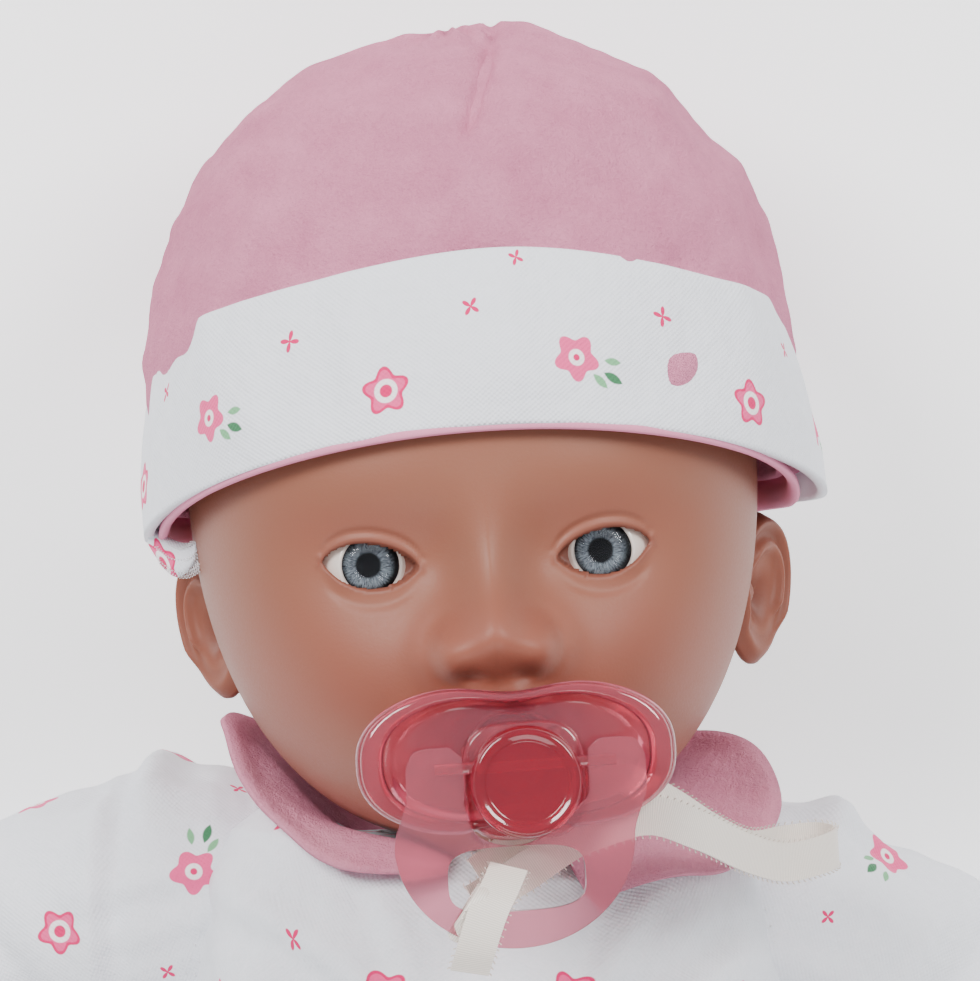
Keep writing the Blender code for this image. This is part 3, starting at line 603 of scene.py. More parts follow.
def face_height(points):
    """The front of the face at each point, in front of the neck axis."""
    x, y, z = points[..., 0], points[..., 1], points[..., 2]
    ax = np.abs(x)
    front = smoothstep(-2.0, 16.0, z - HEAD_CENTRE[2])
    rise = hill(x, y, (0, 20), 14, 6.6) + hill(x, y, (0, 8.5), 9, 3.4, 6) + hill(ax, y, (24, 27), 11, 3.6, 11)
    rise += hill(ax, y, (11, 19), 6, 1.4, 7) - hill(x, y, (0, 13.5), 9, 0.6, 1.6)
    rise -= hill(ax, y, (17.5, 50), 10.5, 3.4, 7.5) + hill(ax, y, (8.5, 49), 4.0, 1.6, 5)
    rise += hill(ax, y, (18, 61), 11, 1.2, 4.5) + hill(x, y, (0, 74), 26, 1.0, 14)
    rise += hill(x, y, (0, 48), 3.4, 1.6, 9) + hill(x, y, (0, 40), 3.6, 3.2, 7)
    rise += hill(x, y, (0, 36.8), 5.3, 5.2, 4.4) + hill(ax, y, (7.5, 34.8), 3.1, 4.4, 3.0)
    rise -= hill(ax, y, (4.4, 31.2), 1.5, 1.5, 0.8)
    wing = np.hypot(x / 10.2, (y - 36.0) / 7.8)
    rise -= 0.7 * np.exp(-((wing - 1.02) / 0.13) ** 2) * smoothstep(44, 37, y) * smoothstep(3, 8, ax)
    rise -= hill(x, y, (0, 29.0), 1.5, 0.7, 2.2)
    distance = np.hypot(x - MOUTH[0] * 0.6, (y - MOUTH[1]) * 1.05)
    lip = np.exp(-((distance - MOUTH_RADIUS - 2.2) / 1.9) ** 2)
    rise += 1.5 * lip * (1 + 0.3 * np.abs(y - MOUTH[1]) / 10)
    height = z + rise * front
    for side in (-1, 1):
        u, v = eye_place(x, y, side)
        upper, lower = lid_curves(np.clip(u, -7.6, 7.6))
        flat = (x - EYE[0] * side) ** 2 + (y - EYE[1]) ** 2
        for radius, extra in ((10.45, 0.0),):
            ball = EYE[2] + np.sqrt(np.clip(radius ** 2 - flat, 0, None)) + extra
            near = np.exp(-np.clip(flat - 40, 0, None) / 60)
            lifted = soft_max(ball * near + height * (1 - near), height, 0.9)
            height = np.where(flat < radius ** 2, lifted, height)
        crease = np.exp(-((v - upper - 1.7) / 0.5) ** 2) * smoothstep(9.2, 6.0, np.abs(u))
        pouch = np.exp(-((v - lower + 2.4) / 0.8) ** 2) * smoothstep(8.0, 4.5, np.abs(u))
        rim = np.exp(-((eye_gap(x, y, side) + 0.45) / 0.5) ** 2) * (np.abs(u) < 8.4)
        height = height - 0.55 * crease - 0.28 * pouch + 0.22 * rim
    return height


def spread(step_at, start, end):
    """Values from start to end whose steps follow a rule."""
    values = [start]
    while values[-1] < end:
        values.append(values[-1] + step_at(values[-1]))
    values = np.array(values)
    return start + (values - start) * (end - start) / (values[-1] - start)


def turn_step(degrees):
    size = abs(degrees)
    return 0.52 if size < 39 else 0.52 + (size - 39) * 0.07


def rise_step(degrees):
    height = HEAD_CENTRE[1] + HEAD_HALF[1] * math.sin(math.radians(degrees))
    if 41 < height < 59:
        return 0.36
    if 4 < height <= 41:
        return 0.62
    return 0.62 + 0.06 * min(abs(height - 50), 40)


half_turns = spread(turn_step, 0.0, 180.0)
TURNS = np.radians(np.concatenate([-half_turns[:0:-1], half_turns[:-1]]))
RISES = np.radians(spread(rise_step, -88.5, 88.5))
print("head grid", len(RISES), "by", len(TURNS))


# %% [markdown]
# The head's surface becomes a mesh here, on a grid that is denser round the features. The mouth
# and the eye openings are pushed inwards rather than cut, so the skin stays in one piece.

# %% Head mesh
def slide_to_edge(points, gap_of, cell):
    """Moves points that lie within half a cell of an edge onto it, along the gap's slope."""
    x, y = points[..., 0], points[..., 1]
    gap = gap_of(x, y)
    small = 0.02
    slope_x = (gap_of(x + small, y) - gap_of(x - small, y)) / (2 * small)
    slope_y = (gap_of(x, y + small) - gap_of(x, y - small)) / (2 * small)
    size = np.clip(slope_x ** 2 + slope_y ** 2, 0.2, None)
    close = (np.abs(gap) < cell * 0.62 * np.sqrt(size)) & (points[..., 2] > 20)
    points[..., 0] = np.where(close, x - gap * slope_x / size, x)
    points[..., 1] = np.where(close, y - gap * slope_y / size, y)
    return close


def mouth_gap(x, y):
    return MOUTH_RADIUS - np.hypot(x - MOUTH[0], y - MOUTH[1])


def make_head():
    points = head_base(TURNS[None, :], RISES[:, None])
    pockets = []
    for gap_of in (lambda x, y: eye_gap(x, y, -1), lambda x, y: eye_gap(x, y, 1), mouth_gap):
        for _ in range(2):
            edge = slide_to_edge(points, gap_of, 0.62 if gap_of is mouth_gap else 0.42)
        pockets.append((gap_of, edge))
    height = face_height(points)
    facing = points[..., 2] > HEAD_CENTRE[2] - 2
    moved = points.copy()
    moved[..., 2] = np.where(facing, height, points[..., 2])
    for gap_of, edge in pockets:
        deep = 9.0 if gap_of is mouth_gap else 3.6
        inside = (gap_of(points[..., 0], points[..., 1]) > 0.03) & ~edge & (points[..., 2] > 20)
        moved[..., 2] = np.where(inside, moved[..., 2] - deep, moved[..., 2])
    x, y, z = moved[..., 0], moved[..., 1], moved[..., 2]
    ax = np.abs(x)
    front = smoothstep(4, 24, z)
    cheeks = hill(ax, y, (27, 30), 14, 0.6, 13)
    blush = cheeks + hill(x, y, (0, 36), 8, 0.4, 6) + hill(x, y, (0, 8), 12, 0.5, 8)
    blush += hill(ax, y, (19, 56), 11, 0.35, 4) + hill(x, y, (0, 18), 16, 0.45, 12) + 0.12
    # Painted shade, kept in deep: darker along the lid edges, inside the eye openings, in the nostrils, and
    # round and inside the mouth.
    deep = np.zeros_like(x)
    for side in (-1, 1):
        gap = eye_gap(x, y, side)
        deep += np.exp(-((gap + 0.1) / 0.55) ** 2) * 0.5 * (z > 20) + (gap > 0.3) * 0.6 * (z > 20)
    lips = np.exp(-((mouth_gap(x, y) + 2.0) / 2.2) ** 2) * 0.35 + (mouth_gap(x, y) > 0.3)
    deep += hill(ax, y, (4.4, 31.1), 1.5, 0.3, 0.9) + lips * front
    head = skin("head_skin", moved, HEAD_AXES, VINYL_SKIN)
    for name, values in (("blush", blush * front), ("deep", np.clip(deep, 0, 1))):
        layer = head.data.attributes.new(name, "FLOAT", "POINT")
        flat = np.zeros(len(head.data.vertices), dtype=np.float32)
        flat[:values.size] = values.ravel()
        layer.data.foreach_set("value", flat)
    return head


head_skin = make_head()
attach(head_skin, "head")
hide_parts("head_shell")
print("head points", len(head_skin.data.vertices))

# %% [markdown]
# The neck is a short tube with a flange, cast in one piece with the head and tied into the body.
# The ears are cast too: an oval cup with a rolled rim, an inner fold and a soft lobe.

# %% Neck and ears
def turned_points(profile, centre=(0, 0, 0), axis=1, count=48):
    """Rings round an axis from a row of (along, radius)."""
    angles = np.linspace(0, 2 * math.pi, count, endpoint=False)
    rings = []
    for along, radius in profile:
        ring = np.zeros((count, 3))
        ring[:, (axis + 1) % 3] = radius * np.cos(angles)
        ring[:, (axis + 2) % 3] = radius * np.sin(angles)
        ring[:, axis] = along
        rings.append(ring + np.array(centre))
    return np.array(rings)


def round_profile(profile, turns=3):
    """A profile with its corners cut back twice or more, so that edges are rounded."""
    points = np.array(profile, dtype=float)
    for _ in range(turns):
        cut = [points[0]]
        for a, b in zip(points[:-1], points[1:]):
            cut += [a * 0.75 + b * 0.25, a * 0.25 + b * 0.75]
        points = np.array(cut + [points[-1]])
    return points


neck_profile = round_profile([(-16, 0.1), (-16, 18.5), (-12, 18.5), (-11.6, 15), (0, 15), (14, 15.2)], 2)
neck_skin = skin("neck_skin", turned_points(neck_profile), HEAD_AXES, VINYL_SKIN)
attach(neck_skin, "head")


def make_ear(side, word):
    angles = np.linspace(0, 2 * math.pi, 64, endpoint=False)
    radii = np.concatenate([np.linspace(0.03, 0.98, 26), [1.0]])
    radius, angle = np.meshgrid(radii, angles, indexing="ij")
    wide = 7.2 + 1.2 * np.sin(angle)
    x, y = radius * np.cos(angle) * wide, radius * np.sin(angle) * (11.8 + 0.4 * np.cos(angle))
    lobe = smoothstep(-0.35, -0.75, np.sin(angle))
    rim = 2.3 * np.exp(-((radius - 0.86) / 0.12) ** 2) * (1 - 0.6 * lobe)
    upper = smoothstep(-0.4, 0.3, np.cos(angle - 0.9))
    fold = 1.5 * np.exp(-((radius - 0.55) / 0.1) ** 2) * upper * (1 - lobe)
    cup = -2.6 * np.exp(-((radius * np.cos(angle) + 0.12) ** 2 + (radius * np.sin(angle) + 0.15) ** 2) / 0.1)
    tab = 1.4 * np.exp(-((radius * np.cos(angle) + 0.62) ** 2 + (radius * np.sin(angle) + 0.05) ** 2) / 0.03)
    face = 1.2 + rim + fold + cup + tab - 2.4 * radius ** 4
    back = -1.6 - 1.0 * np.sqrt(np.clip(1 - radius ** 2, 0, 1)) * 2
    front_side = np.stack([x, y, face], axis=-1)
    back_side = np.stack([x, y, back], axis=-1)[::-1]
    shape = np.concatenate([front_side, back_side])
    lean = math.radians(52)
    out = np.array([math.cos(lean), 0, -math.sin(lean)])
    normal = np.array([math.sin(lean), 0, math.cos(lean)])
    up = np.array([0.06, 1.0, 0.0])
    local = shape[..., :1] * out + shape[..., 1:2] * up + shape[..., 2:] * normal
    local = local * 1.05 + np.array([44.4, 41.3, -1.5])
    local[..., 0] *= side
    local[..., 0] += 1.4
    ear = skin(f"ear_{word}", local, HEAD_AXES, VINYL_SKIN)
    # Painted shade, kept in deep: darker in the ear's cup and just inside its rim.
    depth = np.clip(-cup / 2.6 + 0.35 * (1 - rim / 2.3) * (radius > 0.6), 0, 1)
    for name, values in (("blush", np.full(radius.shape, 0.55)), ("deep", depth * 0.6)):
        layer = ear.data.attributes.new(name, "FLOAT", "POINT")
        flat = np.zeros(len(ear.data.vertices), dtype=np.float32)
        flat[:values.size] = values.ravel()
        layer.data.foreach_set("value", flat)
    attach(ear, "head")
    return ear


for side, word in ((1, "left"), (-1, "right")):
    print(make_ear(side, word).name, "made")

# %% [markdown]
# Each eye is built in layers as a doll maker does: a white ball, a printed iris sunk a little below
# its surface, and a clear dome over the iris that bends the light and carries the highlights.

# %% Eyes
def eye_cup(radius, start, end, rows, sink=0.0):
    """Part of a ball from one angle off the front to another, as rings."""
    return [(radius * math.cos(a) - sink, radius * math.sin(a)) for a in np.linspace(start, end, rows)]


def make_eye(side, word):
    centre = (EYE[0] * side, EYE[1], EYE[2])
    iris_angle = math.asin(4.55 / EYE_RADIUS)
    white = eye_cup(EYE_RADIUS, math.pi - 0.02, iris_angle, 40)
    white += [(white[-1][0] - 0.5, 4.5), (white[-1][0] - 0.6, 0.05)]
    ball = skin(f"eye_white_{word}", turned_points(white, centre, 2, 64), HEAD_AXES, EYE_WHITE)
    depth = EYE_RADIUS * math.cos(iris_angle)
    iris_profile = [(depth - 0.4, 4.5), (depth - 0.25, 4.45), (depth - 0.5, 2.9), (depth - 0.62, 1.6),
                    (depth - 0.6, 0.05)]
    iris_profile = [(depth - 0.48, 0.05), (depth - 0.48, 4.4)] + iris_profile[1:]
    iris_finish = make_iris(to_world([centre], HEAD_AXES)[0])
    iris = skin(f"iris_{word}", turned_points(iris_profile, centre, 2, 64), HEAD_AXES, iris_finish)
    dome = [(depth - 0.1, 0.05), (depth - 0.1, 4.4), (depth + 0.05, 4.5)]
    dome += [(depth + 1.55 * math.cos(a), 4.5 * math.sin(a)) for a in np.linspace(1.45, 0.02, 16)]
    cornea = skin(f"cornea_{word}", turned_points(dome, centre, 2, 64), HEAD_AXES, CLEAR)
    for piece, node, slot in ((ball, "eyeball", "eye_white"), (iris, "iris", "iris"),
                              (cornea, "cornea", "cornea")):
        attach(piece, "head")
        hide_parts(f"{node}_{word}")


for side, word in ((1, "left"), (-1, "right")):
    make_eye(side, word)
print("eyes made")

# %% [markdown]
# The hat is a fleece tube, gathered and darted at the crown, with a deep cuff of the romper's
# cloth folded up over it. Its grid runs from the brim to the crown. The darts pull it in along
# the middle of the front and back, and soft lumps show where the fleece bunches.

# %% Hat surface
HAT_SHIFT = 1.5


def brim_height(turn):
    """The brim dips from the forehead to the sides, flares at the ears and dips again at the nape."""
    side = np.abs(np.sin(turn)) ** 2.2
    return 60.0 + 10.0 * np.cos(turn) - 4.5 * side * smoothstep(-0.75, 0.1, np.cos(turn))


def hat_surface(turn, height, grow):
    low = HEAD_CENTRE[1]
    top = HEAD_CENTRE[1] + HEAD_HALF[1] + grow
    climb = np.clip((height - low) / (top - low), 0, 1)
    wide = (1 - climb ** HEAD_POWER) ** (1 / HEAD_POWER)
    across, deep = np.sin(turn), np.cos(turn)
    size = (np.abs(across) ** HEAD_POWER + np.abs(deep) ** HEAD_POWER) ** (-1 / HEAD_POWER)
    x = across * size * (HEAD_HALF[0] + HAT_SHIFT + grow) * wide + HAT_SHIFT * 0.5
    z = deep * size * (HEAD_HALF[2] + grow) * wide + HEAD_CENTRE[2]
    return np.stack(np.broadcast_arrays(x, height, z), axis=-1)


def make_hat_crown():
    turn = np.linspace(-math.pi, math.pi, 320, endpoint=False)[None, :]
    share = np.linspace(0, 1, 110)[:, None]
    low = brim_height(turn) + 4
    climb = np.sin(share * math.pi / 2 * 0.99)
    top = HEAD_CENTRE[1] + HEAD_HALF[1]
    height = low + (top + 2.88 - low) * climb
    points = hat_surface(turn, height, 2.9)
    fullness = (0.034 + 0.046 * np.exp(-((height - 168) / 13) ** 2)) * smoothstep(190, 176, height)
    sideways = (fullness * np.sin(turn) ** 2)[..., None]
    points = points + (points - points.mean(axis=1, keepdims=True)) * sideways
    lumps = waves(points, 3, 16) * 0.7 + waves(points, 5, 6) * 0.25
    aside = np.abs(points[..., 0] - 1.3 - 0.384 * (points[..., 1] - 116.8))
    dart = np.exp(-(aside / 3.2) ** 2) * smoothstep(0.46, 0.62, share) * smoothstep(0.97, 0.8, share)
    seam_line = np.exp(-(aside / 0.9) ** 2) * smoothstep(0.44, 0.56, share) * smoothstep(1.0, 0.98, share)
    near_tip = smoothstep(0.75, 0.95, share) * smoothstep(1.0, 0.95, share)
    gather = 0.5 * np.sin(turn * 13 + 2 * np.sin(turn * 3)) * near_tip
    out = points - np.array([0, HEAD_CENTRE[1], HEAD_CENTRE[2]])
    out /= np.linalg.norm(out, axis=-1, keepdims=True)
    bulges = sum(high * np.exp(-np.sum((points - np.array(place)) ** 2, axis=-1) / wide)
                 for place, high, wide in (((8.0, 133.0, 8.0), 2.4, 160), ((31.0, 121.0, 8.0), 1.8, 90),
                                           ((45.0, 105.0, 8.0), 3.0, 110), ((48.0, 88.0, 8.0), 1.6, 110),
                                           ((-47.0, 96.0, 10.0), 1.6, 200), ((-36.0, 114.0, 24.0), 1.2, 90)))
    points = points + out * (lumps + bulges - dart * 1.8 - seam_line * 1.2 + gather)[..., None]
    inner = hat_surface(turn, low + (top + 0.98 - low) * climb, 1.0)[::-1].copy()
    for tip in (points[-1], inner[0]):
        tip[:] = tip.mean(axis=0) + (tip - tip.mean(axis=0)) * 0.05
    crown = skin("hat_crown_fleece", np.concatenate([points, inner]), HEAD_AXES, FLEECE, loop=True)
    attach(crown, "hat")
    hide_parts("hat_crown")
    return crown


hat_crown_fleece = make_hat_crown()
print("hat crown faces:", len(hat_crown_fleece.data.polygons))


# %% [markdown]
# The cuff is the romper's cloth folded up over the brim. It is a closed band with an inner face,
# flared over the ears, and a thin fleece lining shows under its lower edge.

# %% Cuff
def make_cuff():
    turn = np.linspace(-math.pi, math.pi, 360, endpoint=False)[None, :]
    share = np.linspace(0, 1, 40)[:, None]
    low = brim_height(turn)
    height = low + 27.0 * share + 0.5 * np.sin(turn * 5 + 1) * share
    swell = 0.7 * np.sin(share * math.pi) ** 0.6
    flare = np.abs(np.sin(turn)) ** 6 * (1 - share) ** 1.5
    grow = 4.2 + swell + flare * (2.4 + 2.2 * (np.sin(turn) > 0))
    points = hat_surface(turn, np.minimum(height, 128.0), grow)
    ripple = waves(points * np.array([1, 0.5, 1]), 11, 22) * 0.85
    ripple = ripple + waves(points * np.array([1, 0.25, 1]), 12, 9) * 0.3
    ripple = ripple * (0.15 + 0.85 * smoothstep(0.02, 0.3, share))
    out = points - np.array([0, 0, HEAD_CENTRE[2]]) - points * np.array([0, 1, 0])
    out /= np.linalg.norm(out, axis=-1, keepdims=True)
    points = points + out * ripple[..., None]
    inner = (points - out * (1.6 + 0.9 * np.sin(share * math.pi))[..., None])[::-1]
    shape = np.concatenate([points, inner])
    uv = cloth_uv(points)
    uv = np.concatenate([uv, uv[::-1]]) + np.array([13.0, 2.0])
    cuff = skin("hat_cuff_cloth", shape, HEAD_AXES, PRINTED_KNIT, uv, loop=True)
    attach(cuff, "hat")
    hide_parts("hat_cuff")
    lining_rings = [(0.5, 4.2), (-0.5, 4.3), (-0.9, 3.8), (-0.6, 3.0), (0.4, 2.4), (4.0, 2.2), (4.0, 2.9),
                    (0.9, 3.4)]
    lining_points = [hat_surface(turn[0], low[0] + d, grow) for d, grow in lining_rings]
    lining = skin("cuff_lining", np.array(lining_points), HEAD_AXES, LINING, loop=True)
    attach(lining, "hat")
    return cuff


hat_cuff_cloth = make_cuff()
print("hat cuff faces:", len(hat_cuff_cloth.data.polygons))


# %% [markdown]
# The cuff's side seam ends above the ear, where the raw edge tucks under. A short rolled scrap of
# the same cloth stands for it, since a real one never lies flat there.

# %% Seam end of the cuff
def make_seam_end():
    """The raw end of the cuff's side seam, folded under at the corner above the ear."""
    steps = np.linspace(0, 1, 26)
    path = np.column_stack([-52.6 + 7.4 * steps, 56.5 - 4.4 * np.sin(steps * math.pi * 0.75), 9 + 7 * steps])
    rings = []
    for p, t in zip(path, steps):
        size = 0.6 + 0.5 * math.sin(t * math.pi)
        shape = [(0, -0.8), (1, -0.5), (1.1, 0.2), (0.5, 0.9), (-0.5, 0.8), (-1.1, 0.2), (-1, -0.5)]
        rings.append([p + np.array([0.2 * a, 2.4 * a * size, 1.1 * b * size]) for a, b in shape])
    rings = np.array(rings)
    piece = skin("cuff_seam_end", rings, HEAD_AXES, PRINTED_KNIT, cloth_uv(rings) + np.array([8.0, 34.0]))
    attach(piece, "hat")
    return path


seam_end = make_seam_end()
print("hat made")

# %% [markdown]
# The pacifier is a butterfly plate with a rolled rim, a raised housing, a knob, and a handle that
# hangs from a pin through the knob. The outline is one formula, so plate, rim and dish all share it.

# %% Pacifier shield
SHIELD_MIDDLE = np.array([2.0, 18.6])


def butterfly(share, grow=0.0, count=160):
    """The shield's outline shrunk to a share of its size: two wings with a dip at the top."""
    angle = np.linspace(0, 2 * math.pi, count, endpoint=False)
    c, s = np.cos(angle), np.sin(angle)
    x = 24.8 * np.sign(c) * np.abs(c) ** 0.85
    lobe = 1 - 0.16 * np.exp(-(x / 8.2) ** 2)
    y = 12.2 * np.sign(s) * np.abs(s) ** 0.8 * lobe
    size = share + grow / 12.0
    return np.stack([SHIELD_MIDDLE[0] + x * size, SHIELD_MIDDLE[1] + y * size], axis=-1)


def shield_rings(profile):
    rings = []
    for share, height in profile:
        flat = butterfly(share)
        bend = -0.0012 * (flat[:, 0] - SHIELD_MIDDLE[0]) ** 2
        rings.append(np.column_stack([flat, height + bend]))
    return np.array(rings)


plate_profile = round_profile([(0.02, 58.6), (0.45, 58.8), (0.74, 58.7), (0.80, 59.9), (0.9, 60.4),
                               (1.0, 59.6), (1.0, 57.4), (0.93, 56.3), (0.5, 56.4), (0.02, 56.4)], 2)
shield = skin("shield_plate", shield_rings(plate_profile), HEAD_AXES, ROSE_PLASTIC)
rim_profile = round_profile([(0.83, 60.2), (0.86, 61.0), (0.95, 61.0),
                             (0.98, 60.2), (0.95, 60.0), (0.86, 60.0)], 1)
shield_rim = skin("shield_rim", shield_rings(rim_profile), HEAD_AXES, ROSE_RIM, loop=True)
for piece in (shield, shield_rim):
    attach(piece, "pacifier")
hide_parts("pacifier_shield")
print("shield faces:", len(shield.data.polygons))


# %% [markdown]
# The housing is a rounded box and the knob and teat are turned shapes, so each is a profile swept
# round. The handle is a flat outline with a finger gap, given thickness and then rounded by a bevel.

# %% Housing, knob, teat and handle
KNOB_MIDDLE = np.array([3.0, 15.0])


def rounded_box_rings(half_x, half_y, power, profile, middle, count=96):
    angle = np.linspace(0, 2 * math.pi, count, endpoint=False)
    c, s = np.cos(angle), np.sin(angle)
    x, y = np.sign(c) * np.abs(c) ** (2 / power), np.sign(s) * np.abs(s) ** (2 / power)
    return np.array([np.column_stack([middle[0] + (half_x + g) * x, middle[1] + (half_y + g) * y,
                                      np.full(count, h)])
                     for g, h in profile])


housing_profile = round_profile([(-8.4, 60.6), (-0.6, 60.8), (0, 60.4),
                                 (0.3, 58.9), (-1, 58.6), (-8.4, 58.6)], 2)
housing_rings = rounded_box_rings(9.3, 9.0, 3.4, housing_profile, KNOB_MIDDLE)
housing = skin("pacifier_housing", housing_rings, HEAD_AXES, ROSE_RIM)
knob_profile = round_profile([(60.9, 0.1), (60.9, 7.9), (62.5, 8.6), (67.6, 8.8),
                              (69.2, 8.0), (68.7, 6.6), (68.2, 6.2), (67.9, 0.1)], 3)
knob = skin("knob_disc", turned_points(knob_profile, (*KNOB_MIDDLE, 0), 2, 96), HEAD_AXES, KNOB_ROSE)
teat_profile = round_profile([(38, 0.05), (37.9, 4.0), (42, 6.1), (50, 6.0),
                              (52, 4.2), (55.7, 4.2), (55.7, 0.05)], 3)
teat = skin("silicone_teat", turned_points(teat_profile, (*MOUTH, 0), 2, 48), HEAD_AXES, SILICONE)
for piece, node, slot in ((housing, None, "pacifier_plastic"), (knob, "pacifier_knob", "pacifier_plastic"),
                          (teat, "pacifier_teat", "silicone")):
    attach(piece, "pacifier")
    if node:
        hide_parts(node)


def handle_outline(count):
    """The handle's outer edge: square shoulders at the pin and a round bow below."""
    bow = [(18.5 * math.cos(a), -11.5 + 16.5 * math.sin(a)) for a in np.linspace(0, -math.pi, 40)]
    corner = [(-18.5, -6), (-18.4, 0.6), (-17.2, 3.0), (-15.0, 3.4),
              (-11.5, 3.4), (-9.7, 1.8), (-9.6, -2.0), (-9.6, -5.6)]
    fork = np.linspace(math.radians(201), math.radians(339), 24)
    arc = [(9.7 * math.cos(a), -2.6 + 9.7 * math.sin(a)) for a in fork]
    path = bow + corner + arc + [(-x, y) for x, y in corner[::-1]]
    path = np.array(path + path[:1])
    length = np.concatenate([[0], np.cumsum(np.linalg.norm(np.diff(path, axis=0), axis=1))])
    even = np.linspace(0, length[-1], count, endpoint=False)
    return np.column_stack([np.interp(even, length, path[:, k]) for k in (0, 1)])


def make_handle():
    """A flat bow with a finger gap, its edges rounded by a bevel."""
    mesh = bmesh.new()
    outer = handle_outline(160)
    angle = np.linspace(0, 2 * math.pi, 72, endpoint=False)
    c, s = np.cos(angle), np.sin(angle)
    gap = np.column_stack([10.6 * np.sign(c) * np.abs(c) ** 0.55,
                           -17.3 + 5.0 * np.sign(s) * np.abs(s) ** 0.55])
    edges = []
    for ring in (outer, gap):
        ring[:, 0] -= 2.4 * smoothstep(-3.5, -12, ring[:, 1])
        verts = [mesh.verts.new((x, y, -1.8)) for x, y in ring]
        edges += [mesh.edges.new((verts[i], verts[(i + 1) % len(verts)])) for i in range(len(verts))]
    filled = bmesh.ops.triangle_fill(mesh, edges=edges, use_beauty=True)
    faces = [item for item in filled["geom"] if isinstance(item, bmesh.types.BMFace)]
    raised = bmesh.ops.extrude_face_region(mesh, geom=faces)
    tops = [item for item in raised["geom"] if isinstance(item, bmesh.types.BMVert)]
    bmesh.ops.translate(mesh, verts=tops, vec=(0, 0, 3.6))
    bmesh.ops.recalc_face_normals(mesh, faces=mesh.faces)
    sharp = [edge for edge in mesh.edges if len(edge.link_faces) == 2 and edge.calc_face_angle() > 1.2]
    bmesh.ops.bevel(mesh, geom=sharp, offset=1.5, segments=5, profile=0.5, affect="EDGES", clamp_overlap=True)
    verts = np.array([v.co for v in mesh.verts])
    faces = [tuple(v.index for v in f.verts) for f in mesh.faces]
    mesh.free()
    return finish_mesh("pacifier_bow", to_world(verts, HANDLE_AXES), faces, None, HANDLE_ROSE)


bow = make_handle()
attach(bow, "handle")
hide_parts("pacifier_handle")
print("pacifier made")

# %% [markdown]
# The ribbon is 6 mm satin with tiny loops along both edges. It leaves the knot on the handle, runs
# behind the shield, lies over the collar in one loop and comes back to the same knot. A route of
# points is smoothed, and a tape is laid along it with its broad side up.

# %% Ribbon
RIBBON_WIDTH = 6.0
RIBBON_THICK = 0.45
RIBBON_ROUTE = np.array((
    (-6.0, -3.5, 58.7), (2.0, 0.5, 55.6), (12.0, 6.0, 54.9), (22.0, 8.0, 54.3), (30.0, 5.0, 51.0),
    (37.5, 0.8, 43.5), (44.0, -1.6, 36.5), (50.0, -1.2, 31.5), (53.6, -0.2, 26.0), (51.0, 0.6, 20.5),
    (45.5, 0.4, 20.5), (39.5, 0.4, 28.0), (33.0, 4.0, 38.0), (26.0, 9.0, 46.0), (18.0, 13.2, 50.4),
    (10.0, 10.4, 51.6), (3.0, 5.6, 52.6), (-5.0, 0.6, 55.2),
))


def smooth_route(points, steps):
    """A Catmull-Rom curve through the points."""
    route = np.vstack([2 * points[0] - points[1], points, 2 * points[-1] - points[-2]])
    out = []
    for i in range(1, len(route) - 2):
        a, b, c, d = route[i - 1:i + 3]
        for t in np.arange(steps) / steps:
            out.append(0.5 * (2 * b + (c - a) * t + (2 * a - 5 * b + 4 * c - d) * t ** 2
                              + (3 * b - a - 3 * c + d) * t ** 3))
    return np.array(out + [points[-1]])


def tape(name, path, width, thick, broad, axes, finish):
    """A flat woven tape along a path, and the lines of its two edges."""
    along = np.gradient(path, axis=0)
    along /= np.linalg.norm(along, axis=1, keepdims=True)
    across = broad - along * (along @ broad)[:, None]
    across /= np.linalg.norm(across, axis=1, keepdims=True)
    out = np.cross(across, along)
    shape = [(-0.5, -0.5), (0, -0.5), (0.5, -0.5), (0.5, 0.5), (0, 0.5), (-0.5, 0.5)]
    rings = np.array([[p + a * (sx * width) + o * (sy * thick) for sx, sy in shape]
                      for p, a, o in zip(path, across, out)])
    length = np.concatenate([[0], np.cumsum(np.linalg.norm(np.diff(path, axis=0), axis=1))])
    side = np.array([-0.5, 0, 0.5, 0.5, 0, -0.5, -0.5]) * width
    uv = np.stack(np.broadcast_arrays(side[None, :], length[:, None]), axis=2)
    piece = skin(name, rings, axes, finish, uv)
    piece.data.set_sharp_from_angle(angle=math.radians(40))
    edges = [path + across * (width / 2 * sign) for sign in (-1, 1)]
    return piece, length[-1], edges


ribbon_path = smooth_route(RIBBON_ROUTE, 10)
ribbon, ribbon_length, ribbon_edges = tape("satin_ribbon", ribbon_path, RIBBON_WIDTH, RIBBON_THICK,
                                           np.array([0, 1.0, 0]), HEAD_AXES, SATIN)
tail_route = [(-3.4, -15.6, -1.5), (-5.2, -18.8, 1.4), (-7.0, -21.6, 3.2),
              (-8.4, -24.8, 3.6), (-9.6, -28.2, 2.8), (-10.6, -31.2, 0.8)]
tail_path = smooth_route(np.array(tail_route), 8)
tail, tail_length, tail_edges = tape("ribbon_end", tail_path, RIBBON_WIDTH, RIBBON_THICK,
                                     np.array([1.0, 0, 0]), HANDLE_AXES, SATIN)


def make_knot():
    """The wrap of ribbon round the handle: a flattened ring with soft creases."""
    along = np.array([0.81, -0.59, 0])
    across = np.array([0.59, 0.81, 0])
    up = np.array([0, 0, 1.0])
    rings = []
    turn = np.linspace(0, 2 * math.pi, 48, endpoint=False)
    profile = round_profile([(-2.6, 0.0), (-2.8, 0.7), (-1.4, 1.2), (0, 0.8),
                             (1.4, 1.3), (2.8, 0.6), (2.6, 0.0), (0, -0.1)], 2)
    for a, r in profile:
        crease = 0.25 * np.sin(turn * 3 + a)
        sideways = ((3.9 + r + crease) * np.cos(turn))[:, None]
        upwards = ((2.2 + r * 0.8 + crease) * np.sin(turn))[:, None]
        ring = np.array([-8.6, -22.9, 0]) + along * a + across * sideways + up * upwards
        rings.append(ring)
    rings = np.array(rings)
    uv = cloth_uv(rings)
    return skin("ribbon_wrap", rings, HANDLE_AXES, SATIN, uv, loop=True)


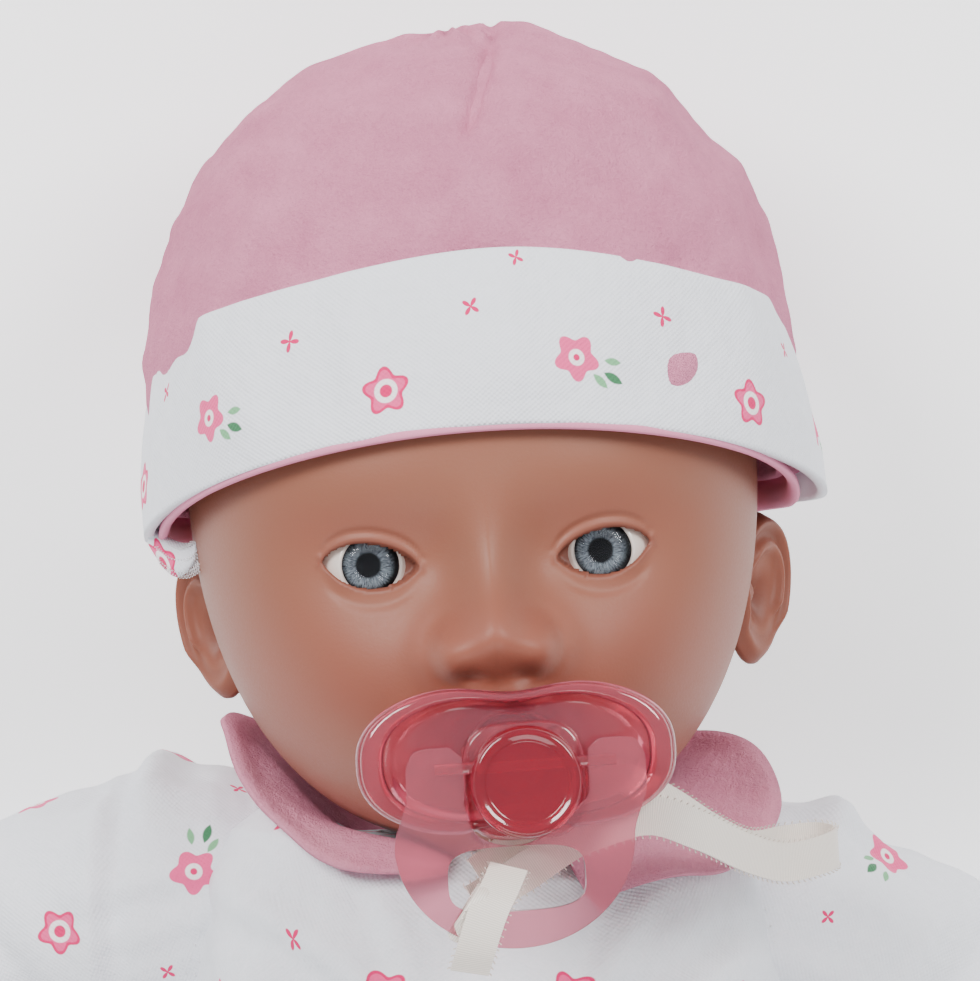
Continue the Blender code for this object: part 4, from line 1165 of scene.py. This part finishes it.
knot = make_knot()
print("ribbon length", round(ribbon_length, 1), "tail", round(tail_length, 1))

# %% [markdown]
# Picots are the tiny loops woven along a satin ribbon's edge. Geometry Nodes repeat one loop along
# each edge line: the curve is resampled at the picot pitch, a loop is placed on each point and
# turned to follow the edge, and the result is made real so that it can be kept as a plain mesh.

# %% Repeats along a line
class Growth:
    """A Geometry Nodes tree with named inputs, and one way to add any node."""

    def __init__(self, name, sizes):
        self.tree = bpy.data.node_groups.new(name, "GeometryNodeTree")
        self.tree.interface.new_socket("Geometry", in_out="INPUT", socket_type="NodeSocketGeometry")
        self.tree.interface.new_socket("Geometry", in_out="OUTPUT", socket_type="NodeSocketGeometry")
        self.inputs = self.tree.nodes.new("NodeGroupInput")
        self.result = self.tree.nodes.new("NodeGroupOutput")
        self.sockets = {}
        for label, value in sizes.items():
            socket = self.tree.interface.new_socket(label, in_out="INPUT", socket_type="NodeSocketFloat")
            socket.default_value = value
            self.sockets[label] = socket.identifier

    def size(self, label):
        return self.inputs.outputs[label]

    def node(self, kind, settings=None, inputs=None):
        node = self.tree.nodes.new(kind)
        for key, value in (settings or {}).items():
            setattr(node, key, value)
        for key, value in (inputs or {}).items():
            if isinstance(value, bpy.types.NodeSocket):
                self.tree.links.new(value, node.inputs[key])
            else:
                node.inputs[key].default_value = value
        return node


def repeat_tree(name, finish):
    """Places a small bent thread at an even pitch along curves, then makes it real."""
    growth = Growth(name, {"Pitch": 0.001, "Loop Size": 0.001, "Thread": 0.0001, "Rise": 0.0})
    points = growth.node("GeometryNodeCurveToPoints", {"mode": "LENGTH"},
                         {"Curve": growth.inputs.outputs["Geometry"], "Length": growth.size("Pitch")})
    arc = growth.node("GeometryNodeCurveArc", {"mode": "RADIUS"},
                      {"Resolution": 7, "Radius": growth.size("Loop Size"), "Start Angle": 0.0,
                       "Sweep Angle": math.pi})
    ring = growth.node("GeometryNodeCurvePrimitiveCircle", {"mode": "RADIUS"},
                       {"Resolution": 5, "Radius": growth.size("Thread")})
    thread = growth.node("GeometryNodeCurveToMesh", None,
                         {"Curve": arc.outputs["Curve"], "Profile Curve": ring.outputs["Curve"],
                          "Fill Caps": True})
    placed = growth.node("GeometryNodeInstanceOnPoints", None,
                         {"Points": points.outputs["Points"], "Instance": thread.outputs["Mesh"],
                          "Rotation": points.outputs["Rotation"]})
    real = growth.node("GeometryNodeRealizeInstances", None, {"Geometry": placed.outputs["Instances"]})
    dressed = growth.node("GeometryNodeSetMaterial", None,
                          {"Geometry": real.outputs["Geometry"], "Material": finish})
    growth.tree.links.new(dressed.outputs["Geometry"], growth.result.inputs["Geometry"])
    return growth


def grow_along(name, growth, lines, axes, sizes, tilts=None):
    """Runs a tree over poly lines and keeps the result as a plain mesh."""
    curve = bpy.data.curves.new(name + "_line", "CURVE")
    curve.dimensions = "3D"
    curve.twist_mode = "Z_UP"
    for k, line in enumerate(lines):
        world = to_world(line, axes) * MM
        spline = curve.splines.new("POLY")
        spline.points.add(len(world) - 1)
        for point, place in zip(spline.points, world):
            point.co = (*place, 1)
            point.tilt = tilts[k] if tilts else 0.0
    holder = bpy.data.objects.new(name + "_holder", curve)
    bpy.context.scene.collection.objects.link(holder)
    modifier = holder.modifiers.new("grow", "NODES")
    modifier.node_group = growth.tree
    for label, value in sizes.items():
        modifier[growth.sockets[label]] = value
    graph = bpy.context.evaluated_depsgraph_get()
    mesh = bpy.data.meshes.new_from_object(holder.evaluated_get(graph))
    bpy.data.objects.remove(holder)
    mesh.name = name
    mesh.shade_smooth()
    item = bpy.data.objects.new(name, mesh)
    bpy.context.scene.collection.objects.link(item)
    return item


picot_tree = repeat_tree("picots", SATIN)
picot_sizes = {"Pitch": 0.0012, "Loop Size": 0.00045, "Thread": 0.00011}
ribbon_picots = grow_along("ribbon_picots", picot_tree, ribbon_edges, HEAD_AXES, picot_sizes)
tail_picots = grow_along("ribbon_end_picots", picot_tree, tail_edges, HANDLE_AXES, picot_sizes)
knot_start = to_world([RIBBON_ROUTE[0]], HEAD_AXES)[0] * MM
blend_end = to_world([(-4, -6, 60.0)], HEAD_AXES)[0] * MM
blend_start = to_world([(10, 6, 54)], HEAD_AXES)[0] * MM
for piece in (ribbon, ribbon_picots):
    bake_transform(piece)
for piece in (tail, tail_picots, knot):
    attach(piece, "handle")
fringe_tree = repeat_tree("fringe", WHITE_THREAD)
fringe_shifts = [(0.3, -1.9, 0.6), (0.5, -2.2, -0.2), (-0.2, 0.8, 1.1), (0.2, -1.3, 1.0)]
fringe_lines = [seam_end[6:] + np.array(shift) for shift in fringe_shifts]
fringe_sizes = {"Pitch": 0.0005, "Loop Size": 0.0009, "Thread": 0.0001}
fringe = grow_along("cuff_fringe", fringe_tree, fringe_lines, HEAD_AXES, fringe_sizes)
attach(fringe, "hat")
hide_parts("ribbon")
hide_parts("ribbon_knot")
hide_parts("ribbon_tail")
ribbon_length * MM
[tuple(p) for p in to_world(ribbon_path, HEAD_AXES) * MM]
print("picots", len(ribbon_picots.data.vertices))

# %% [markdown]
# The collar is a band of velour sewn round the neck and turned over. It stands a little, folds,
# and spreads over the shoulders, where the back of the head pushes it out and up. Its shape
# is set at a few places round the neck and eased between them.

# %% Collar
def ease_rows(rows, steps):
    """Catmull-Rom between rows of points, each row one cross-section."""
    rows = np.asarray(rows, dtype=float)
    flat = rows.reshape(len(rows), -1)
    return smooth_route(flat, steps).reshape(-1, *rows.shape[1:])


def make_collar():
    right = [((8, 1.0, 20.5), (9.6, 3.4, 24.5), (14.0, -6.5, 25.5)),
             ((15.5, 1.8, 17.0), (18.5, 5.4, 21.0), (26.0, -3.5, 24.0)),
             ((20, 3, 9), (24.5, 7.0, 13.5), (37.5, -3.0, 17.0)),
             ((21.5, 3, 2), (27.5, 9.0, 5.0), (46.5, 5.5, 8.0)),
             ((21, 3, -6), (27, 10, -7), (42.5, 16.5, -3.0)), ((15, 3, -15), (19.5, 8, -19), (26, 17, -20))]
    left = [((8, 1.0, 20.5), (9.6, 3.4, 24.5), (11.5, -0.5, 26.0)),
            ((15.5, 1.8, 17.0), (18.5, 5.4, 21.0), (25.5, 1.5, 24.0)),
            ((20, 3, 9), (24.5, 7.0, 13.5), (34.0, 8.0, 17.0)),
            ((21.5, 3, 2), (27.5, 9.0, 5.0), (40.5, 17.5, 8.5)),
            ((21, 3, -6), (27, 10, -7), (41.5, 26.5, -2.0)), ((15, 3, -15), (19.5, 8, -19), (27, 18, -20))]
    back = [((0, 3, -21), (0, 7.5, -26), (0, 11, -30))]
    mirrored = [[(-x, y, z) for x, y, z in row] for row in left]
    keys = np.array(mirrored + back + right[::-1])
    rows = ease_rows(keys, 12)
    share = np.linspace(0, 1, 26)[:, None, None]
    inner, fold, outer = rows[:, 0], rows[:, 1], rows[:, 2]
    knee = fold * 2 - (inner + outer) / 2
    belly = (1 - share) ** 2 * inner + 2 * share * (1 - share) * knee + share ** 2 * outer
    grid = np.transpose(belly, (1, 0, 2))
    along = np.gradient(grid, axis=0)
    across = np.gradient(grid, axis=1)
    normal = np.cross(across, along)
    normal /= np.linalg.norm(normal, axis=2, keepdims=True)
    normal = normal * np.sign(np.sum(normal * np.array([0, 1.0, 0.4]), axis=2, keepdims=True))
    ripple = waves(grid, 21, 14) * 0.55 * np.linspace(0.2, 1, 26)[None, :]
    grid = grid + normal * ripple[..., None]
    edge = np.linspace(0, 1, 26)[None, :]
    roll = 0.9 + 0.7 * np.exp(-((edge - 0.97) / 0.05) ** 2) - 0.5 * np.exp(-((edge - 0.86) / 0.03) ** 2)
    top = grid + normal * (roll / 2)[..., None]
    bottom = grid - normal * 0.55
    shell = np.concatenate([top, bottom[:, ::-1]], axis=1)
    widths = cloth_uv(shell)
    piece = skin("velour_collar", shell, HEAD_AXES, VELOUR, widths)
    low, high = to_world([(0, 3.5, 0), (0, 12.0, 0)], HEAD_AXES) * MM
    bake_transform(piece)
    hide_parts("collar")


make_collar()
print("collar made")

# %% [markdown]
# The romper's body is a closed shape of rings from the seat to the neck. Stuffing fills it out,
# so it swells between the seams. Folds run in from the armholes, across the lap and down from
# the neck. The print follows the cloth in millimetres.

# %% Bodice
TORSO = np.array([
    (-76, 8, 16, 44), (-74, 24, 9, 46), (-69, 38, 2, 53), (-60, 46, -2, 60), (-50, 50, -4, 64),
    (-25, 53, -5, 68), (0, 53, -5, 71), (25, 51, -5, 72.5), (42, 48.5, -3, 72), (50, 46, 2, 71),
    (56, 42, 8, 69.5), (60.5, 35, 15, 65), (62, 26, 22, 58), (62.3, 17.5, 29, 52),
])
# Each fold's start, end, width, depth and bend.
BODICE_FOLDS = (
    ((-45, 52, 0), (-8, 22, 0), 4.0, 1.5, 4), ((-46, 44, 0), (-20, 12, 0), 4.5, 1.2, -3),
    ((44, 46, 0), (10, 18, 0), 4.0, 1.4, -4), ((46, 38, 0), (22, 6, 0), 4.5, 1.1, 3),
    ((-20, 56, 0), (-14, 30, 0), 3.2, 0.9, 2), ((24, 54, 0), (14, 28, 0), 3.2, 0.9, -2),
    ((-40, -48, 0), (-4, -30, 0), 4.5, 1.6, 4), ((40, -48, 0), (6, -28, 0), 4.5, 1.6, -4),
    ((-30, -40, 0), (-2, -14, 0), 5.0, 1.0, 3), ((30, -38, 0), (4, -10, 0), 5.0, 1.0, -3),
)


def body_ring(y, angle):
    """A point of the romper's outline at a height, for each angle round it."""
    half, low, high = (np.interp(y, TORSO[:, 0], TORSO[:, k]) for k in (1, 2, 3))
    c, s = np.cos(angle), np.sin(angle)
    x = half * np.sign(c) * np.abs(c) ** 0.84
    z = (low + high) / 2 + (high - low) / 2 * np.sign(s) * np.abs(s) ** 0.84
    return np.stack(np.broadcast_arrays(x, y, np.maximum(z, 0.4)), axis=-1)


def body_level(points):
    """Under 1 inside the romper's body and over 1 outside it."""
    half, low, high = (np.interp(points[..., 1], TORSO[:, 0], TORSO[:, k]) for k in (1, 2, 3))
    x = np.abs(points[..., 0]) / half
    z = np.abs(points[..., 2] - (low + high) / 2) / ((high - low) / 2)
    level = x ** 2.38 + z ** 2.38
    return np.where((points[..., 1] > 62) | (points[..., 1] < -76), 4.0, level)


def crease(points, start, end, width, depth, bend=0.0):
    """A long fold along a line: raised on one side and sunk on the other, as pushed cloth is."""
    start, end = np.array(start, dtype=float), np.array(end, dtype=float)
    along = end - start
    length = np.linalg.norm(along)
    along /= length
    side = np.array([-along[1], along[0], 0])
    offset = points - start
    t = offset @ along / length
    d = offset @ side - bend * np.sin(np.clip(t, 0, 1) * math.pi)
    fade = smoothstep(-0.1, 0.2, t) * smoothstep(1.1, 0.75, t)
    front = smoothstep(30, 45, points[..., 2])
    return depth * fade * front * (d / width) * np.exp(-(d / width) ** 2) * 2.3


def make_bodice():
    angle = np.linspace(0, 2 * math.pi, 300, endpoint=False)[None, :] + 0.5 * math.pi
    share = np.linspace(0, 1, 190)[:, None]
    heights = np.interp(share[:, 0], np.linspace(0, 1, 2 * len(TORSO) - 1),
                        np.interp(np.linspace(0, len(TORSO) - 1, 2 * len(TORSO) - 1), range(len(TORSO)),
                                  TORSO[:, 0]))
    kernel = np.hanning(23)
    kernel /= kernel.sum()
    heights = np.convolve(np.pad(heights, 11, mode="edge"), kernel, mode="valid")
    points = body_ring(heights[:, None], angle)
    smooth = np.array([np.convolve(np.pad(points[:, 0, 1], 3, mode="edge"), np.ones(7) / 7, mode="valid")])
    points[..., 1] = smooth[0][:, None]
    points[..., 1] += 7.0 * smoothstep(20, 33, np.abs(points[..., 0])) * smoothstep(36, 57, points[..., 1])
    out = points - np.array([0, 0, 36])
    out[..., 1] *= 0.25
    out /= np.linalg.norm(out, axis=-1, keepdims=True)
    free = smoothstep(6, 26, points[..., 2])
    ripples = waves(points * np.array([1, 0.45, 1]), 32, 13)
    soft = waves(points, 31, 34) * 1.1 + ripples * 0.45 + waves(points, 33, 7) * 0.12
    folds = sum(crease(points, *fold) for fold in BODICE_FOLDS)
    top_fade = smoothstep(61.5, 57, points[..., 1])
    points = points + out * ((soft * free + folds) * top_fade)[..., None]
    points[..., 2] = np.maximum(points[..., 2], 0.3)
    hem = points[-1]
    middle = hem.mean(axis=0)
    inner = [middle + (hem - middle) * k + np.array([0, d, 0])
             for k, d in ((0.95, 0.1), (0.93, -0.8), (0.93, -3.0), (0.9, -6.0))]
    shell = np.concatenate([points, inner])
    uv = np.stack(np.broadcast_arrays(angle * 42.0 * 1.02, shell[:, :1, 1]), axis=2)
    uv = np.concatenate([uv, uv[:, :1] + np.array([2 * math.pi * 42.84, 0])], axis=1)
    piece = skin("bodice", shell, WORLD_AXES, PRINTED_KNIT, uv)
    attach(piece, "torso")
    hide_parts("romper_front")
    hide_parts("romper_back")
    return piece


bodice = make_bodice()
print("bodice faces", len(bodice.data.polygons))

# %% [markdown]
# A sleeve or trouser leg is set into its armhole and eased in, so small gathers run from the
# seam. It is stuffed like a bolster, creases where it bends, and ends in an elastic cuff.

# %% Sleeves and trouser legs
ARM_PROFILE = np.array([(-14, 14), (-8, 18.4), (0, 20.3), (15, 20.6), (35, 19.8),
                        (55, 18.4), (64, 17.0), (69, 15.4), (72, 14.4), (77, 14.9)])
LEG_PROFILE = np.array([(-14, 15), (-8, 19.2), (0, 21.4), (20, 21.8), (45, 21.4),
                        (80, 20.2), (100, 19.0), (108, 16.8), (112, 15.6), (117, 16.0)])


def make_tube(name, axes, profile, seed, seam_fold, cap):
    end = profile[-1, 0]
    rows = np.concatenate([np.linspace(-14, end - 12, 120), np.linspace(end - 11.5, end, 34)])[:, None]
    angle = np.linspace(0, 2 * math.pi, 220, endpoint=False)[None, :]
    fine = np.linspace(profile[0, 0], end, 200)
    radius = np.interp(fine, profile[:, 0], profile[:, 1])
    kernel = np.hanning(15) / np.hanning(15).sum()
    radius = np.interp(rows, fine, np.convolve(np.pad(radius, 7, mode="edge"), kernel, mode="valid"))
    direction = np.stack(np.broadcast_arrays(0 * rows, np.cos(angle), np.sin(angle) * 0.975), axis=-1)
    direction = np.broadcast_to(direction, (len(rows), 220, 3))
    base = direction * radius[..., None]
    base = base + np.stack([rows, 0 * rows, 0 * rows], axis=-1)
    gather_in = smoothstep(26, 4, rows) * smoothstep(-10, -2, rows)
    gathers = (np.sin(angle * 11 + 1.5 * np.sin(angle * 3 + seed)) * 0.5
               + np.sin(angle * 17 + seed) * 0.3) * gather_in
    cuff_near = smoothstep(end - 24, end - 9, rows)
    ruffles = np.sin(angle * 20 + 2 * np.sin(angle * 4 + seed)) * (0.75 * cuff_near)
    ripples = waves(base * np.array([1.2, 0.6, 0.6]), seed + 1, 12)
    soft = waves(base * np.array([0.8, 1, 1]), seed, 22) + ripples * 0.5
    soft = soft * smoothstep(-12, 6, rows) * (1 - 0.7 * smoothstep(end - 10, end - 4, rows))
    turn_folds = 0.0
    for place, lean, depth in seam_fold:
        d = rows - place - lean * np.cos(angle)
        facing = smoothstep(-0.9, 0.3, np.sin(angle + 0.4))
        turn_folds = turn_folds + depth * (d / 3.2) * np.exp(-(d / 3.2) ** 2) * 2.3 * facing
    upwards = direction @ axes[1] @ np.array([0, 1.0, 0])
    puff = cap * np.exp(-((rows - 3) / 4.2) ** 2) * smoothstep(0.55, 0.95, upwards)
    points = base + direction * (gathers + ruffles + soft + turn_folds + puff)[..., None]
    inner = (points - direction * 1.0)[::-1]
    shell = np.concatenate([points, inner])
    around = angle * 20.0
    uv = np.stack(np.broadcast_arrays(around, rows), axis=2)
    uv = np.concatenate([uv, uv[:, :1] + np.array([2 * math.pi * 20.0, 0])], axis=1)
    uv = np.concatenate([uv, uv[::-1]]) + np.array([seed * 7.0, seed * 3.0])
    floor_gap = to_world(shell, axes)
    floor_gap[..., 2] = np.maximum(floor_gap[..., 2], 0.3)
    piece = skin(name, floor_gap, WORLD_AXES, PRINTED_KNIT, uv, loop=True)
    return piece, to_world(points, axes)


def seam_path(outer, level):
    """Where the tube comes out of the romper's body, one point for each column."""
    path = []
    for j in range(outer.shape[1]):
        out = np.flatnonzero(level[:, j] > 1.0)
        path.append(outer[out[0] if len(out) else -1, j])
    path = np.array(path)
    smooth = sum(np.roll(path, k, axis=0) for k in range(-3, 4)) / 7
    return smooth


def point_on(axes, x):
    return tuple(to_world([(x, 0, 0)], axes)[0] * MM)


SLEEVE_FOLDS = {"left": [(30, 5, 0.9), (44, -6, 0.7), (58, 4, 0.5)],
                "right": [(14, 6, 1.5), (34, -5, 0.8), (52, 5, 0.6)]}
LEG_FOLDS = {"left": [(28, 7, 1.2), (54, -5, 0.9), (82, 5, 0.8)],
             "right": [(24, -7, 1.2), (50, 6, 0.9), (86, -5, 0.8)]}
seams = {}
for word in ("left", "right"):
    for kind, node, axes, profile, folds, seed in (
            ("sleeve", "sleeve", ARMS[word], ARM_PROFILE, SLEEVE_FOLDS[word], 41),
            ("trouser_leg", "romper_leg", LEGS[word], LEG_PROFILE, LEG_FOLDS[word], 51)):
        limb = f"{word}_{'arm' if kind == 'sleeve' else 'leg'}"
        tube, outer = make_tube(f"{kind}_{word}_cloth", axes, profile, seed + (word == "right") * 5, folds,
                                4.2 if kind == "sleeve" else 0.0)
        seams[f"{kind}_{word}"] = (seam_path(outer, body_level(outer)), limb, axes)
        point_on(axes, -6)
        point_on(axes, 24)
        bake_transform(tube)
        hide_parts(f"{node}_{word}")
        print(tube.name, len(tube.data.polygons))

# %% [markdown]
# The seam where a sleeve or leg comes out of the body is topstitched. Its line is found from
# the two shapes, and a row of short stitches is repeated along it. Every stitch is the same small
# bent thread.

# %% Seams and stitches
stitch_tree = repeat_tree("stitches", WHITE_THREAD)
stitch_sizes = {"Pitch": 0.0026, "Loop Size": 0.0008, "Thread": 0.00014}
for name, (path, limb, axes) in seams.items():
    closed = np.vstack([path, path[:1]])
    outwards = closed - closed.mean(axis=0)
    outwards /= np.linalg.norm(outwards, axis=1, keepdims=True)
    row = grow_along(f"{name}_armhole_stitches", stitch_tree, [closed + outwards * 0.35], WORLD_AXES,
                     stitch_sizes)
    point_on(axes, -6)
    point_on(axes, 24)
    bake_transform(row)
print("stitched seams:", len(seams))

# %% [markdown]
# Hands and feet are cast vinyl. Each starts as overlapping balls of clay: a forearm, a palm, and a
# chain of smaller balls for every finger or toe. A remesh welds them into one skin and a little
# smoothing softens the valleys, as wax modelling would.

# %% Hands and feet
def clay(name, chains, cell, relax, axes):
    """One smooth skin round chains of balls, each chain a list of (place, radius)."""
    mesh = bmesh.new()
    for chain in chains:
        for (a, ra), (b, rb) in zip(chain[:-1], chain[1:]):
            a, b = np.array(a, dtype=float), np.array(b, dtype=float)
            count = max(2, int(np.linalg.norm(b - a) / (min(ra, rb) * 0.3)))
            for t in np.linspace(0, 1, count):
                place = Matrix.Translation(Vector(a * (1 - t) + b * t))
                bmesh.ops.create_icosphere(mesh, subdivisions=2, radius=float(ra * (1 - t) + rb * t),
                                           matrix=place)
    rough = bpy.data.meshes.new(name + "_rough")
    mesh.to_mesh(rough)
    mesh.free()
    holder = bpy.data.objects.new(name + "_rough", rough)
    bpy.context.scene.collection.objects.link(holder)
    weld = holder.modifiers.new("weld", "REMESH")
    weld.mode = "VOXEL"
    weld.voxel_size = cell
    smooth = holder.modifiers.new("smooth", "SMOOTH")
    smooth.factor = 0.5
    smooth.iterations = relax
    graph = bpy.context.evaluated_depsgraph_get()
    result = bpy.data.meshes.new_from_object(holder.evaluated_get(graph))
    verts = np.array([v.co for v in result.vertices])
    faces = [tuple(p.vertices) for p in result.polygons]
    bpy.data.objects.remove(holder)
    bpy.data.meshes.remove(rough)
    bpy.data.meshes.remove(result)
    return finish_mesh(name, to_world(verts, axes), faces, None, VINYL_SKIN), verts


def paint(piece, name, values):
    layer = piece.data.attributes.new(name, "FLOAT", "POINT")
    layer.data.foreach_set("value", np.asarray(values, dtype=np.float32))


def hand_chains(side):
    """A relaxed baby hand, palm down. side is +1 where the thumb points to +Y."""
    chains = [[((51, 0, 0), 7.2), ((69, 0, 0), 7.6)],
              [((71, 0, 0), 11.2), ((80, 0, 0), 10.8), ((88, 0, 0), 9.4), ((94, 0, -0.5), 8.2)],
              [((94, 0, -0.5), 8.2), ((98, 0, -1), 8.6)]]
    for k in range(4):
        y = (k - 1.5) * -4.6 * side
        length = (9.5, 11.0, 10.4, 8.2)[k]
        spread_y = (k - 1.5) * -0.8 * side
        chains.append([((96, y * 0.7, -1), 5.4), ((104, y, -0.5), 4.6), ((108, y + spread_y, -0.6), 3.1),
                       ((108 + length * 0.55, y + spread_y * 2, -2.2), 2.9),
                       ((108 + length * 0.72, y + spread_y * 2.2, -5.8), 2.7)])
    chains.append([((95, 5.5 * side, -1), 4.8), ((100, 9.6 * side, -2.4), 3.8),
                   ((105.5, 11.4 * side, -4.2), 3.1), ((108.5, 11.2 * side, -5.6), 2.7)])
    return chains


def foot_chains(side):
    """A plump foot standing on its heel, toes up. side is +1 where the big toe is at +Y."""
    chains = [[((91, 0, 0), 8.8), ((105, 0, 0), 9.2)],
              [((108, 0, 0), 12.2), ((120, 0, 0), 11.8), ((132, 0, 0.5), 10.6)],
              [((132, 0, 0.5), 10.6), ((142, 0, 0.0), 11.0), ((146, 0, -1.0), 10.4)],
              [((146, 0.6 * side, 2), 10.6), ((149, 1.0 * side, 14), 9.4), ((150.5, 1.2 * side, 22), 8.0)]]
    chains.append([((148, -3.5 * side, 8), 7.0), ((150, -5.0 * side, 20), 6.0)])
    for k in range(5):
        y = (6.2, 1.6, -2.2, -5.6, -8.6)[k] * side
        top = (31.5, 31.4, 30.2, 28.4, 26.2)[k]
        size = (3.9, 2.8, 2.6, 2.4, 2.2)[k]
        chains.append([((150, y * 0.9, 20), size + 0.6), ((149.5, y, top - size), size),
                       ((147.5, y * 1.02, top - size + 1.4), size)])
    return chains


def press_line(verts, place, depth, width, axis=0):
    """A soft ring pressed in round the limb, as at a baby's wrist or ankle."""
    amount = depth * np.exp(-((verts[:, axis] - place) / width) ** 2)
    return amount


for word, side in (("left", 1), ("right", -1)):
    for kind, axes, chains, wrist, tip in (("arm", ARMS[word], hand_chains(side), 95.0, 112.0),
                                           ("leg", LEGS[word], foot_chains(-side), 133.0, 154.0)):
        cast, local = clay(f"{kind}_{word}_cast", chains, 0.85, 6, axes)
        middle = np.column_stack([local[:, 0], 0 * local[:, 0], 0 * local[:, 0]])
        out = local - middle
        out /= np.linalg.norm(out, axis=1, keepdims=True) + 1e-9
        ring = press_line(local, wrist, 0.9, 1.2) + press_line(local, wrist - 9, 0.35, 1.0)
        local = local - out * ring[:, None]
        flat = to_world(local, axes)
        flat[:, 2] = np.maximum(flat[:, 2], 0.3)
        cast.data.vertices.foreach_set("co", (flat * MM).ravel())
        paint(cast, "blush", np.clip(smoothstep(tip - 8, tip, local[:, 0]) * 0.8 + 0.15, 0, 1))
        # Painted shade, kept in deep: darker in the creases pressed round the wrist or ankle.
        paint(cast, "deep", np.clip(ring * 0.25, 0, 1))
        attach(cast, f"{word}_{kind}")
        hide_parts(f"{kind}_{word}")
        print(cast.name, len(cast.data.polygons))

# %% [markdown]
# The parts inside the doll keep the solids of the frame and get finishes here: white and grey
# plastics, steel, the cells' sleeves, the board, the speaker, and the cloth and stuffing.

# %% Finishes of the inner parts
INNER = (
    (WHITE_PLASTIC, "neck_plug_disc neck_cable_tie eye_retainer_left eye_retainer_right"),
    (WHITE_PLASTIC, "sound_case_front sound_case_back"),
    (GREY_PLASTIC, "battery_door press_button power_switch"),
    (CELL_SLEEVE, "reed_switch battery_1 battery_2 battery_3"),
    (STEEL, "pacifier_magnet door_screw battery_contact_low battery_contact_high speaker_frame speaker_magnet"),
    (BODY_CLOTH, "body_front body_back upper_arm_left upper_arm_right thigh_left thigh_right"),
    (HOOK_TAPE, "hook_strip loop_strip"),
    (SILICONE, "mouth_cup"), (STUFFING, "head_stuffing"), (ROSE_RIM, "handle_pin"),
    (BOARD, "circuit_board"), (PAPER_CONE, "speaker_cone"),
)
finished = 0
for finish, names in INNER:
    for name in names.split():
        node = bpy.data.objects[name]
        node.data.materials.clear()
        node.data.materials.append(finish)
        finished += 1
print("inner parts finished:", finished)

# %% [markdown]
# The doll lies on a pale, plain floor. Two large soft boxes light it from the head end and one fills
# in from the feet. The camera hangs over the head and shoulders with a long lens, which flattens depth.

# %% Floor, lights and camera
def softbox(name, place, target, size, power, warmth=(1, 1, 1)):
    lamp = bpy.data.lights.new(name, "AREA")
    lamp.shape = "RECTANGLE"
    lamp.size, lamp.size_y = size
    lamp.energy = power
    lamp.color = warmth
    item = bpy.data.objects.new(name, lamp)
    item.location = place
    item.rotation_euler = (Vector(target) - Vector(place)).to_track_quat("-Z", "Y").to_euler()
    bpy.context.scene.collection.objects.link(item)
    return item


FLOOR_GLOW = 0.55
ROOM_STRENGTH = 0.72
LENS_MM = 260
CAMERA_PLACE = (0.0005, 0.118, 1.198)
bpy.ops.mesh.primitive_plane_add(size=6, location=(0, 0, -0.0002))
floor = bpy.context.object
floor.name = "floor"
floor_look = Finish("floor_paint", Base_Color=(*linear(250, 250, 250), 1), Roughness=0.85,
                    Emission_Color=(1, 1, 1, 1), Emission_Strength=FLOOR_GLOW)
floor.data.materials.append(floor_look.material)
target = (0.0, 0.1, 0.06)
lights = [softbox("softbox_left", (-0.55, 0.6, 0.95), target, (0.5, 0.35), 15),
          softbox("softbox_right", (0.6, 0.55, 0.9), target, (0.4, 0.3), 10),
          softbox("fill_low", (0.0, -0.9, 0.9), target, (0.9, 0.6), 6)]
world = bpy.data.worlds.new("soft_room")
bpy.context.scene.world = world
world.use_nodes = True
world.node_tree.nodes["Background"].inputs["Color"].default_value = (0.85, 0.88, 0.92, 1)
world.node_tree.nodes["Background"].inputs["Strength"].default_value = ROOM_STRENGTH
lens = bpy.data.cameras.new("camera")
lens.lens = LENS_MM
lens.sensor_width = 36
camera = bpy.data.objects.new("camera", lens)
camera.location = CAMERA_PLACE
bpy.context.scene.collection.objects.link(camera)
bpy.context.scene.camera = camera
print("lights:", len(lights))
